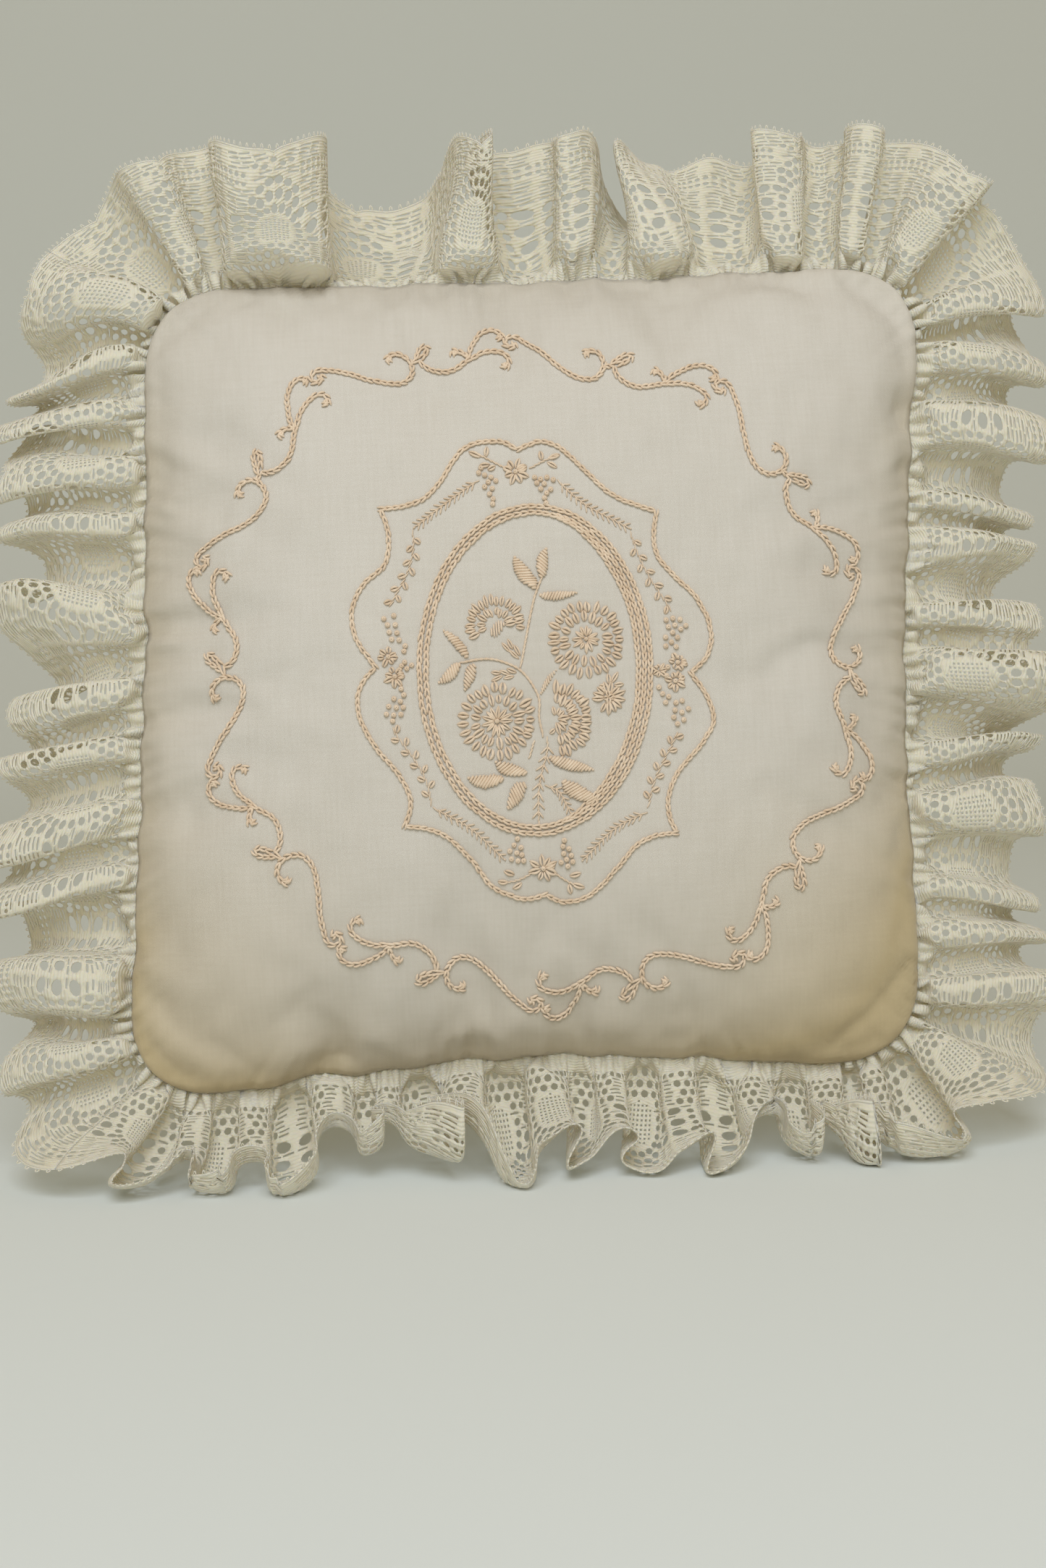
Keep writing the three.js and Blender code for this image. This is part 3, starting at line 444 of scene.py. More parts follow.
def stuffed_cover(name, side):
    """One cover: blown out from its seam, puckered along it and slightly wavy over its face."""
    flat = square_grid(GRID)
    rise = crown(flat, CROWN - BLOWN)
    points = np.stack([flat[..., 0], side * (SEAM_OPENING + rise), flat[..., 1]], axis=-1).reshape(-1, 3)
    piece = mesh_object(name, points * MM, grid_quads(GRID, side > 0).tolist())
    index = np.arange((GRID + 1) ** 2).reshape(GRID + 1, GRID + 1)
    blow_out(piece, np.unique(np.concatenate([index[0], index[-1], index[:, 0], index[:, -1]])))
    smoother = piece.modifiers.new("smooth", "SUBSURF")
    smoother.levels = smoother.render_levels = 1
    apply_modifiers(piece)

    points = read_points(piece.data) / MM
    normals = read_points(piece.data, "normal")
    face = points[:, [0, 2]]
    seam_radius, along = towards_seam(face)
    inwards = np.maximum(seam_radius - np.hypot(*face.T), 0)
    gathers, broad, fine = ripples(5, 13), waves(9, 38, 90, 0.4), waves(12, 9, 22, 0.12)
    rolling = waves(11, 20, 44, 1.0)
    push = 0.5 * gathers(along) * np.exp(-inwards / 8) * smoothstep(inwards, 0, 2.5)
    push += (broad(*face.T) + fine(*face.T)) * smoothstep(inwards, 4, 30)
    push += rolling(*face.T) * smoothstep(inwards, 2, 14) * np.exp(-inwards / 22)
    tugs = np.exp(-((face[:, 0] / 42) ** 2) - ((face[:, 1] / 40) ** 2))
    strain = waves(5, 60, 160)
    push += 0.13 * tugs * np.sin(face[:, 1] * 2 * math.pi / 5.2 + strain(*face.T)) * (side < 0)
    for dent_side, place, depth, half, reach in DENTS:
        sign = 1 if dent_side < 2 else -1
        is_upright = dent_side % 2 == 0
        offset = (face[:, 1] if is_upright else face[:, 0]) - place
        beyond = sign * (face[:, 0] if is_upright else face[:, 1])
        on_side = beyond > 0.5 * HALF_WIDTH
        widening = half * (1 + inwards / reach)
        fading = np.exp(-((offset / widening) ** 2) - inwards / reach)
        push -= on_side * depth * fading * smoothstep(inwards, 0, 4)
    points += normals * push[:, None]
    piece.data.vertices.foreach_set("co", (points * MM).ravel())
    piece.data.update()
    # Painted shade: the colour is made darker and warmer towards the cloth's lower corners, and most of all
    # along the seam there, standing in for the shade where the face curves under.
    x, lowness = face[:, 0], smoothstep(-face[:, 1], 15, 118)
    aside = 0.1 + 0.6 * smoothstep(x, 0, 110) + 0.5 * smoothstep(np.abs(x), 40, 110)
    along_seam = 0.5 * np.exp(-inwards / 11) * (1 - 0.7 * smoothstep(face[:, 1], 60, 115))
    painted_shade = np.clip(lowness * aside * (0.6 + 0.6 * np.exp(-inwards / 16)) + along_seam, 0, 1)
    attribute = piece.data.attributes.new("painted_shade", "FLOAT", "POINT")
    attribute.data.foreach_set("value", painted_shade.astype(np.float32))
    return piece


front_cover = stuffed_cover("front_cover_sateen", -1)
back_cover = stuffed_cover("back_cover_sateen", 1)


# The front's height is read on a grid, so that stitches can be laid on it.
FIELD_REACH, FIELD_STEP = 122.0, 1.0
FIELD_COUNT = round(2 * FIELD_REACH / FIELD_STEP) + 1


def read_heights(piece):
    corners = [tuple(p) for p in read_points(piece.data) / MM]
    tree = BVHTree.FromPolygons(corners, [tuple(polygon.vertices) for polygon in piece.data.polygons])
    ticks = np.linspace(-FIELD_REACH, FIELD_REACH, FIELD_COUNT)
    heights = np.zeros((FIELD_COUNT, FIELD_COUNT))
    forward = Vector((0, 1, 0))
    for i, x in enumerate(ticks):
        for j, z in enumerate(ticks):
            hit = tree.ray_cast(Vector((x, -200, z)), forward)[0]
            heights[i, j] = -hit.y if hit else 0
    return heights


HEIGHTS = read_heights(front_cover)
SLOPE_X, SLOPE_Z = np.gradient(HEIGHTS, FIELD_STEP)


def on_grid(field, x, z):
    gx = np.clip((x + FIELD_REACH) / FIELD_STEP, 0, FIELD_COUNT - 1.001)
    gz = np.clip((z + FIELD_REACH) / FIELD_STEP, 0, FIELD_COUNT - 1.001)
    i, j = gx.astype(int), gz.astype(int)
    a, b = gx - i, gz - j
    near = field[i, j] * (1 - b) + field[i, j + 1] * b
    far = field[i + 1, j] * (1 - b) + field[i + 1, j + 1] * b
    return near * (1 - a) + far * a


def on_front(design):
    """Places of the design, as x, z and lift from the cloth, to the part's frame."""
    cos, sin = DESIGN_SCALE * math.cos(DESIGN_TURN), DESIGN_SCALE * math.sin(DESIGN_TURN)
    x = DESIGN_MIDDLE[0] + design[:, 0] * cos - design[:, 1] * sin
    z = DESIGN_MIDDLE[1] + design[:, 0] * sin + design[:, 1] * cos
    normal = np.stack([-on_grid(SLOPE_X, x, z), -np.ones_like(x), -on_grid(SLOPE_Z, x, z)], axis=-1)
    normal /= np.linalg.norm(normal, axis=1, keepdims=True)
    return placed(np.stack([x, -on_grid(HEIGHTS, x, z), z], axis=-1) + normal * design[:, 2:])


def finish_piece(piece, slot, *cad_nodes):
    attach(piece, "root")
    if cad_nodes:
        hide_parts(*cad_nodes)


for cover, cad_node in ((front_cover, "front_cover"), (back_cover, "back_cover")):
    cover.data.vertices.foreach_set("co", placed(read_points(cover.data) / MM).ravel())
    cover.data.update()
    cover.data.shade_smooth()
    cover.data.materials.append(SATEEN)
    shell = cover.modifiers.new("cloth thickness", "SOLIDIFY")
    shell.thickness = 0.4 * MM
    finish_piece(cover, "ivory_sateen", cad_node)

# ------------------------------------------------------------------ inside the covers

INNER_GRID = 48


def inner_face(side, share, height, opening, lumps):
    flat = square_grid(INNER_GRID)
    rise = crown(flat, height)
    x, z = flat[..., 0] * share, flat[..., 1] * share
    depth = side * (opening + rise + lumps(x, z) * smoothstep(rise, 1, 12))
    return np.stack([x, depth, z], axis=-1).reshape(-1, 3)


# What lies inside the covers: its outline as a share of theirs, and how far it crowns.
CASING_SHARE, CASING_CROWN, CASING_OPENING, CASING_THICKNESS = 0.955, CROWN - 11.5, 0.3, 0.3
FILLING_SHARE, FILLING_CROWN = 0.935, CROWN - 14.5


def inner_pieces():
    creases = waves(10, 14, 40, 0.5)
    for side, end in ((-1, "front"), (1, "back")):
        points = inner_face(side, CASING_SHARE, CASING_CROWN, CASING_OPENING, creases)
        quads = grid_quads(INNER_GRID, side > 0).tolist()
        casing = mesh_object(f"inner_casing_{end}_muslin", placed(points), quads)
        casing.data.materials.append(MUSLIN)
        shell = casing.modifiers.new("cloth thickness", "SOLIDIFY")
        shell.thickness, shell.offset = CASING_THICKNESS * MM, 0
        finish_piece(casing, "muslin", f"inner_casing_{end}")
    tufts = waves(14, 10, 30, 0.9)
    halves = [inner_face(side, FILLING_SHARE, FILLING_CROWN, 0.0, tufts) for side in (-1, 1)]
    quads = [grid_quads(INNER_GRID, False), grid_quads(INNER_GRID, True) + len(halves[0])]
    points = placed(np.concatenate(halves))
    filling = mesh_object("fibre_filling_wadding", points, np.concatenate(quads).tolist())
    joiner = filling.modifiers.new("rim", "WELD")
    joiner.merge_threshold = 0.05 * MM
    apply_modifiers(filling)
    filling.data.shade_smooth()
    filling.data.materials.append(WADDING)
    finish_piece(filling, "wadding", "fibre_filling")


inner_pieces()

# ------------------------------------------------------------------ strands of thread

SIDES = 5
AROUND = np.linspace(0, 2 * math.pi, SIDES, endpoint=False)


def tube_faces(count):
    ring = np.arange(SIDES)
    here = np.arange(count - 1)[:, None] * SIDES
    a, b = here + ring, here + (ring + 1) % SIDES
    c, d = b + SIDES, a + SIDES
    faces = np.concatenate([np.stack([a, b, c], -1).reshape(-1, 3), np.stack([a, c, d], -1).reshape(-1, 3)])
    fan = np.array([(0, i + 1, i) for i in range(1, SIDES - 1)])
    return np.concatenate([faces, fan, fan[:, ::-1] + (count - 1) * SIDES])


class Stitches:
    """Strands of thread, drawn flat as x, z and lift, and laid on a surface all together."""

    def __init__(self, radius=THREAD):
        self.points, self.faces, self.count, self.radius = [], [], 0, radius

    def strand(self, path, lift, radius=None):
        """One tube along the path, a little thinner at both ends."""
        path = np.asarray(path, dtype=float)
        ahead = np.gradient(path, axis=0)
        ahead /= np.maximum(np.linalg.norm(ahead, axis=1, keepdims=True), 1e-9)
        sideways = np.stack([-ahead[:, 1], ahead[:, 0]], axis=-1)
        thick = np.broadcast_to(self.radius if radius is None else radius, len(path))[:, None]
        thick = thick * np.where(np.arange(len(path)) % (len(path) - 1) == 0, 0.6, 1.0)[:, None]
        flat = path[:, None, :] + sideways[:, None, :] * (thick * np.cos(AROUND))[..., None]
        up = np.broadcast_to(lift, len(path))[:, None] + thick * np.sin(AROUND)
        self.points.append(np.concatenate([flat, up[..., None]], axis=-1).reshape(-1, 3))
        self.faces.append(tube_faces(len(path)) + self.count)
        self.count += len(path) * SIDES

    def grain(self, start, end, bow, lift, radius=None):
        """One fat stretch of thread, thin where it goes through the cloth, bowed to one side."""
        step = np.asarray(end, dtype=float) - start
        sideways = np.array([-step[1], step[0]]) / np.linalg.norm(step)
        share = np.linspace(0, 1, 6)
        swell = np.sin(math.pi * share)
        path = start + step * share[:, None] + sideways * (bow * swell)[:, None]
        thick = (radius or self.radius) * (0.5 + 0.6 * swell**0.6)
        self.strand(path, self.radius * 0.6 + lift * swell, thick)

    def chain(self, path, pitch=2.4, width=1.6):
        """A line of chain stitch: each link is two bowed stretches that start inside the one before."""
        places = resampled(path, pitch)
        for start, end in zip(places[:-1], places[1:]):
            step = (end - start) * random.uniform(1.3, 1.5)
            sideways = np.array([-step[1], step[0]]) / np.linalg.norm(step)
            start = start + sideways * random.uniform(-0.12, 0.12)
            for sign in (-1, 1):
                half = sign * (width / 2 - self.radius) * random.uniform(0.85, 1.15)
                self.grain(start, start + step + sideways * half, 0.35 * half, 0.45)

    def petal(self, base, tip, width=1.6, strands=2, rise=0.5):
        """A few fat strands side by side from one hole to another."""
        base, tip = np.asarray(base, dtype=float), np.asarray(tip, dtype=float)
        step = tip - base
        sideways = np.array([-step[1], step[0]]) / np.linalg.norm(step)
        radius = max(self.radius, width / strands * 0.46)
        for place in np.linspace(-1, 1, strands):
            bow = place * (width / 2 - radius) * random.uniform(0.85, 1.2)
            aside = sideways * 0.25 * bow
            start, end = base + aside, tip + aside + step * random.uniform(-0.08, 0.06)
            self.grain(start, end, bow, rise * random.uniform(0.85, 1.15), radius)

    def straight(self, base, tip, rise=0.3):
        share = np.linspace(0, 1, 5)[:, None]
        base, tip = np.asarray(base, dtype=float), np.asarray(tip, dtype=float)
        self.strand(base + (tip - base) * share, self.radius * 0.8 + rise * np.sin(math.pi * share[:, 0]))

    def satin(self, base, tip, width, bend=0.0, slant=0.25, rise=0.75):
        """A padded leaf, filled with strands that cross it."""
        base, tip = np.asarray(base, dtype=float), np.asarray(tip, dtype=float)
        length = np.linalg.norm(tip - base)
        ahead = (tip - base) / length
        sideways = np.array([-ahead[1], ahead[0]])
        count = max(round(length / 1.0), 4)
        for i in range(count):
            share = (i + 0.5) / count
            half = width / 2 * math.sin(math.pi * share**0.8) ** 0.75 * random.uniform(0.88, 1.14)
            middle = base + ahead * length * share + sideways * bend * math.sin(math.pi * share)
            across = np.linspace(-1, 1, 7)
            path = middle + np.outer(across, sideways * half + ahead * (slant + 0.3) * half)
            jitter = random.uniform(0.8, 1.15)
            lift = self.radius * 0.6 + rise * jitter * min(half, 1.6) / 1.6 * np.sqrt(1 - 0.96 * across**2)
            self.strand(path, lift, self.radius * random.uniform(1.0, 1.2))

    def knot(self, place, size=0.95):
        """A French knot: thread wound round itself."""
        turn = np.linspace(0, 4.6 * math.pi, 22) + random.uniform(0, 2 * math.pi)
        share = np.linspace(0, 1, 22)
        reach = (size - self.radius) * (1 - 0.75 * share**2)
        path = np.asarray(place, dtype=float) + np.stack([np.cos(turn), np.sin(turn)], -1) * reach[:, None]
        self.strand(path, self.radius + 0.75 * size * share, self.radius * 1.08)

    def stem(self, path, step=1.7, overlap=1.7, radius=None):
        """A stem stitch: short slanting stitches that overlap like a cord."""
        places = resampled(path, step)
        for start, end in zip(places[:-1], places[1:]):
            ahead = end - start
            sideways = np.array([-ahead[1], ahead[0]]) * 0.14
            share = np.linspace(0, 1, 6)[:, None]
            line = start - ahead * 0.2 + ahead * overlap * share + sideways * (1 - 2 * share)
            self.strand(line, self.radius * 0.9 + 0.22 * np.sin(math.pi * share[:, 0]), radius)

    def fern(self, path, pairs, reach=2.6, opening=42):
        """A line with straight stitches in pairs along it, which slant towards its end."""
        self.stem(path, 1.9, 1.3, self.radius * 0.8)
        places = resampled(path, curve_length(path) / (pairs + 1))
        for i in range(1, pairs + 1):
            ahead = places[i + 1] - places[i - 1] if i + 1 < len(places) else places[i] - places[i - 1]
            for sign in (-1, 1):
                turn = sign * math.radians(opening) * random.uniform(0.85, 1.15)
                angle = math.atan2(ahead[1], ahead[0]) + turn
                away = np.array([math.cos(angle), math.sin(angle)])
                self.straight(places[i], places[i] + reach * random.uniform(0.85, 1.1) * away, 0.25)
        self.straight(places[-1], 2 * places[-1] - places[-2] * 0.5 - places[-1] * 0.5)

    def vine(self, path, pairs, reach=3.3, opening=46):
        """A line with small leaves on both sides."""
        self.stem(path, 2.2, 1.2, self.radius * 0.7)
        places = resampled(path, curve_length(path) / (2 * pairs + 1))
        for i in range(1, 2 * pairs + 1):
            ahead = places[min(i + 1, len(places) - 1)] - places[i - 1]
            sign = 1 if i % 2 else -1
            angle = math.atan2(ahead[1], ahead[0]) + sign * math.radians(opening)
            away = np.array([math.cos(angle), math.sin(angle)])
            self.petal(places[i] + away * 0.5, places[i] + away * reach, 1.7, 2, 0.4)

    def rays(self, middle, inner, outer, count, start=0, end=360, width=1.5, strands=4):
        """Petals that point away from a middle, between two radii."""
        whole = end - start >= 360
        for i in range(count):
            angle = math.radians(start + (end - start) * i / (count if whole else count - 1))
            away = np.array([math.cos(angle), math.sin(angle)])
            near, far = inner + random.uniform(-0.7, 0.4), outer + random.uniform(-0.6, 0.6)
            aside = np.array([-away[1], away[0]]) * random.uniform(-0.6, 0.6)
            wide = width * random.uniform(0.9, 1.15)
            self.petal(middle + away * near, middle + away * far + aside, wide, strands)

    def build(self, name, lay, material):
        return triangle_object(name, lay(np.concatenate(self.points)), np.concatenate(self.faces), material)


def curve_length(points):
    return np.linalg.norm(np.diff(smooth_curve(points), axis=0), axis=1).sum()


def smooth_curve(points, steps=10):
    """A Catmull-Rom curve through the points."""
    p = np.asarray(points, dtype=float)
    p = np.concatenate([[2 * p[0] - p[1]], p, [2 * p[-1] - p[-2]]])
    t = np.linspace(0, 1, steps, endpoint=False)[:, None]
    parts = []
    for a, b, c, d in zip(p[:-3], p[1:-2], p[2:-1], p[3:]):
        square, cube = 2 * a - 5 * b + 4 * c - d, 3 * b - a - 3 * c + d
        parts.append(0.5 * (2 * b + (c - a) * t + square * t**2 + cube * t**3))
    return np.concatenate([*parts, p[-2:-1]])


def resampled(points, spacing):
    """Evenly spaced places along the smooth curve through the points."""
    curve = smooth_curve(points)
    far = np.concatenate([[0], np.cumsum(np.linalg.norm(np.diff(curve, axis=0), axis=1))])
    count = max(round(far[-1] / spacing), 1)
    marks = np.linspace(0, far[-1], count + 1)
    return np.stack([np.interp(marks, far, curve[:, 0]), np.interp(marks, far, curve[:, 1])], axis=-1)


# ------------------------------------------------------------------ the embroidery

# One border scroll: lines of chain stitch, as radius in mm and degrees clockwise from its start, and
# whether each line curls at its start and at its end.
SCROLL = (
    (((110.9, 0.2), (110.9, -0.7), (112.8, -1.2), (114.8, -0.5), (115.2, 0.7), (113.5, 2.1), (109.8, 4.6),
      (105.1, 7.3), (101.5, 10.2), (100.2, 12.7), (100.8, 14.5), (103.2, 15.8), (106.8, 16.3),
      (109.8, 15.7), (111.6, 14.3), (111.2, 13.1)), True, True),
    (((106.9, 16.3), (107.3, 17.2), (108.0, 18.0)), False, False),
    (((107.9, 17.3), (110.2, 18.2), (112.8, 19.4), (112.8, 20.6), (110.8, 20.4),
      (108.6, 18.7)), False, False),
    (((108.0, 18.0), (104.9, 18.7), (102.7, 20.2), (101.4, 22.1), (101.7, 24.0), (103.8, 26.0),
      (105.4, 27.6)), False, False),
    (((105.6, 27.4), (107.2, 26.8), (108.9, 25.6)), False, True),
    (((105.1, 27.2), (108.4, 27.8), (111.8, 28.9), (115.3, 30.3), (117.3, 32.0), (117.2, 33.6),
      (115.6, 34.3)), False, True),
    (((105.2, 27.6), (107.6, 30.0), (108.5, 32.1), (107.9, 34.3), (105.7, 35.4),
      (103.7, 35.1)), False, True),
)

# The scalloped frame, one list from each corner to the next.
SCALLOPS = (
    ((-5.3, 73.9), (-9.6, 76.3), (-14.6, 77.0), (-22.5, 75.1), (-27.5, 69.3), (-32.0, 62.0), (-37.3, 57.0),
     (-44.0, 54.6), (-51.2, 53.9)),
    ((-51.2, 53.9), (-48.9, 47.2), (-48.4, 40.7), (-50.2, 34.1), (-56.1, 29.0), (-59.8, 22.6),
     (-60.7, 16.1), (-58.6, 8.7), (-52.5, 0.5)),
    ((-52.5, 0.5), (-57.0, -4.4), (-58.8, -11.0), (-57.4, -17.5), (-52.9, -25.7), (-45.9, -33.9),
     (-41.8, -41.3), (-41.4, -46.2), (-43.4, -52.0)),
    ((-43.4, -52.0), (-34.0, -53.2), (-27.5, -56.9), (-20.9, -63.4), (-15.2, -70.8), (-9.4, -74.3),
     (-2.9, -75.9), (3.3, -74.3)),
    ((3.3, -74.3), (8.6, -76.7), (15.2, -76.1), (21.7, -71.6), (28.3, -64.3), (33.2, -58.5), (39.8, -55.2),
     (46.7, -54.4)),
    ((46.7, -54.4), (44.5, -49.5), (43.9, -43.0), (46.7, -34.8), (53.7, -26.6), (59.0, -18.4),
     (58.6, -12.0), (55.3, -6.1), (51.6, -1.1)),
    ((51.6, -1.1), (56.8, 3.8), (58.8, 10.3), (57.8, 16.9), (53.7, 24.3), (47.1, 30.8), (41.4, 37.4),
     (39.9, 43.9), (40.7, 53.1)),
    ((40.7, 53.1), (33.2, 55.4), (25.8, 58.7), (19.3, 64.4), (13.5, 70.2), (8.6, 74.7), (2.0, 76.7),
     (-5.3, 73.9)),
)

# French knots round the wreath.
KNOTS = {
    "top_left": ((-17.6, 67.7), (-18.4, 66.0), (-16.4, 65.2), (-14.3, 64.4), (-15.2, 62.8), (-12.7, 63.2),
                 (-16.4, 61.1), (-13.9, 60.5), (-14.8, 58.6), (-13.6, 56.9), (-13.8, 55.2)),
    "top_right": ((0.2, 64.2), (2.2, 63.6), (4.3, 64.2), (6.4, 63.4), (0.9, 62.3), (3.4, 62.0), (5.5, 60.2),
                  (2.2, 60.3), (4.2, 58.9), (3.4, 57.2), (3.9, 55.5)),
    "bottom_left": ((-6.1, -56.1), (-7.2, -58.2), (-4.9, -59.0), (-8.6, -60.2), (-6.3, -60.8),
                    (-4.6, -61.4), (-8.0, -62.8), (-5.9, -63.4), (-4.0, -63.4)),
    "bottom_right": ((9.4, -56.7), (9.0, -58.7), (10.9, -59.4), (9.2, -61.0), (11.7, -61.6), (10.2, -63.0),
                     (8.4, -63.9), (12.2, -63.7), (10.6, -65.2)),
    "left_upper": ((-50.0, 16.7), (-46.7, 17.7), (-48.8, 14.6), (-46.2, 14.6), (-48.2, 12.2), (-45.7, 12.0),
                   (-47.4, 9.8), (-45.0, 9.6), (-43.0, 7.7), (-43.4, 5.9)),
    "left_lower": ((-44.3, -6.7), (-43.4, -8.7), (-46.7, -9.9), (-44.6, -10.8), (-48.4, -12.4),
                   (-45.9, -12.8), (-43.6, -12.8), (-49.2, -15.0), (-46.8, -15.3), (-44.4, -15.1),
                   (-47.1, -17.3)),
    "right_upper": ((43.6, 16.4), (45.9, 17.0), (48.3, 16.7), (50.3, 14.6), (46.6, 14.7), (44.4, 14.1),
                    (48.6, 13.4), (45.8, 12.2), (43.4, 10.6), (47.4, 10.6), (45.3, 9.0), (46.9, 7.4),
                    (43.4, 7.6)),
    "right_lower": ((41.0, -6.1), (42.2, -8.3), (44.3, -9.2), (43.2, -11.2), (46.7, -11.2), (48.7, -10.6),
                    (50.8, -13.2), (46.3, -13.7), (48.6, -14.4), (45.9, -16.1), (49.2, -16.9),
                    (47.1, -18.3)),
}
FERNS = {
    "top_left": ((-18.6, 63.4), (-26.6, 57.9), (-39.6, 47.8)),
    "top_right": ((7.8, 63.2), (17.2, 54.9), (31.6, 47.4)),
    "bottom_left": ((-33.8, -46.0), (-22.0, -52.5), (-10.6, -62.6)),
    "bottom_right": ((36.6, -47.6), (26.0, -53.0), (15.8, -63.0)),
}
VINES = {
    "left_upper": ((-40.6, 46.6), (-40.2, 40.7), (-41.8, 33.3), (-45.1, 26.7), (-48.0, 20.6)),
    "right_upper": ((32.0, 45.8), (34.6, 38.0), (38.4, 30.6), (42.6, 24.0), (45.6, 19.4)),
    "left_lower": ((-34.4, -45.0), (-36.0, -37.4), (-40.2, -29.6), (-45.2, -23.0), (-47.4, -19.4)),
    "right_lower": ((37.2, -45.8), (39.2, -37.6), (42.4, -30.4), (45.8, -24.0), (47.0, -20.8)),
}
# Detached leaves beside the bouquet's stem and round its small flower: base and tip.
STEM_LEAVES = (
    ((-5.4, 3.2), (-8.6, 6.2)), ((-5.0, 4.2), (-7.0, 8.0)), ((-7.4, 6.4), (-9.2, 9.8)),
    ((-8.2, 5.4), (-11.2, 8.6)), ((-6.2, -1.4), (-9.6, 0.0)), ((-8.4, -2.0), (-12.0, -0.6)),
    ((-7.0, -2.6), (-10.8, -3.4)), ((-10.8, -2.4), (-14.8, -4.2)), ((-11.4, -1.6), (-14.6, -1.2)),
    ((-0.6, -20.6), (-3.8, -20.4)), ((4.6, -21.6), (6.4, -20.0)),
)
SMALL_FLOWER_LEAVES = (
    ((24.4, -5.2), (24.2, -1.6)), ((25.2, -4.8), (27.4, -1.2)), ((26.0, -5.6), (29.4, -5.0)),
    ((23.2, -6.0), (21.0, -5.6)),
)
# Satin-stitched leaves and buds: both ends, width, and how far the middle is bent aside.
SATINS = {
    "bud_upper_left": ((0.0, 26.6), (-6.8, 37.6), 4.9, 0.3),
    "bud_upper": ((1.9, 30.4), (3.9, 40.4), 4.0, 0.4),
    "bud_right": ((1.4, 24.6), (14.2, 25.4), 3.0, -0.7),
    "bouquet_leaf_left_upper": ((-22.6, 3.6), (-30.6, 13.0), 3.3, -0.8),
    "bouquet_leaf_left": ((-24.8, 1.6), (-32.2, -4.8), 3.7, 0.4),
    "bouquet_leaf_left_lower": ((-20.0, 1.4), (-23.4, -7.4), 3.6, -0.3),
    "satin_leaf_left": ((-10.8, -36.8), (-22.6, -36.0), 4.8, 0.9),
    "satin_leaf_centre": ((-3.2, -34.8), (-13.6, -30.6), 4.6, 0.8),
    "satin_leaf_lower": ((-3.4, -38.2), (-9.4, -46.4), 5.2, -0.6),
    "satin_leaf_right": ((4.4, -29.2), (19.4, -33.6), 4.0, -0.6),
    "satin_leaf_right_lower": ((9.0, -37.0), (20.6, -44.0), 5.0, -0.9),
}


def polar(radius, degrees):
    return radius * math.cos(math.radians(degrees)), radius * math.sin(math.radians(degrees))


def embroider(name, stitches, *cad_nodes):
    piece = stitches.build(name, on_front, THREADS)
    finish_piece(piece, "embroidery_thread", *cad_nodes)


def curled(path, reach=1.35, turns=0.9):
    """A path that winds on into a small tight curl at its end, the way that it is already bending."""
    path = np.asarray(path, dtype=float)
    before, ahead = path[-2] - path[-3], path[-1] - path[-2]
    bend = 1 if before[0] * ahead[1] - before[1] * ahead[0] > 0 else -1
    heading = math.atan2(ahead[1], ahead[0])
    angles = heading + bend * np.linspace(0, 2 * math.pi * turns, 9)
    tightness = np.linspace(1, 0.55, 9)
    step = reach * 2 * math.pi * turns / 9 * tightness
    steps = np.stack([np.cos(angles), np.sin(angles)], axis=-1) * step[:, None]
    return np.concatenate([path, path[-1] + np.cumsum(steps, axis=0)])


def oval(inset_left, inset_right, start=0, end=360):
    """A row of the oval frame, set in from its outside by one amount on the left and another on the right."""
    points = []
    for degrees in np.linspace(start, end, 40):
        cos, sin = math.cos(math.radians(degrees)), math.sin(math.radians(degrees))
        inset = inset_left + (inset_right - inset_left) * float(smoothstep(cos, 0.1, 0.75))
        points.append(((OVAL_HALF_WIDTH - inset) * cos, (OVAL_HALF_HEIGHT - inset) * sin))
    return points


def small_flower(stitches, middle, reach, petals=8):
    middle = np.array(middle)
    stitches.rays(middle, 1.0, reach, petals, random.uniform(0, 40), random.uniform(0, 40) + 400, 1.7, 2)
    stitches.knot(middle, 0.9)


def sprig(stitches, line, petals):
    stitches.stem(line, 1.8, 1.3, THREAD * 0.75)
    for base, tip in petals:
        stitches.petal(base, tip, 1.6, 2, 0.4)


def big_flower(stitches, middle, rings):
    for inner, outer, count, start, end, width, strands in rings:
        stitches.rays(np.array(middle), inner, outer, count, start, end, width, strands)


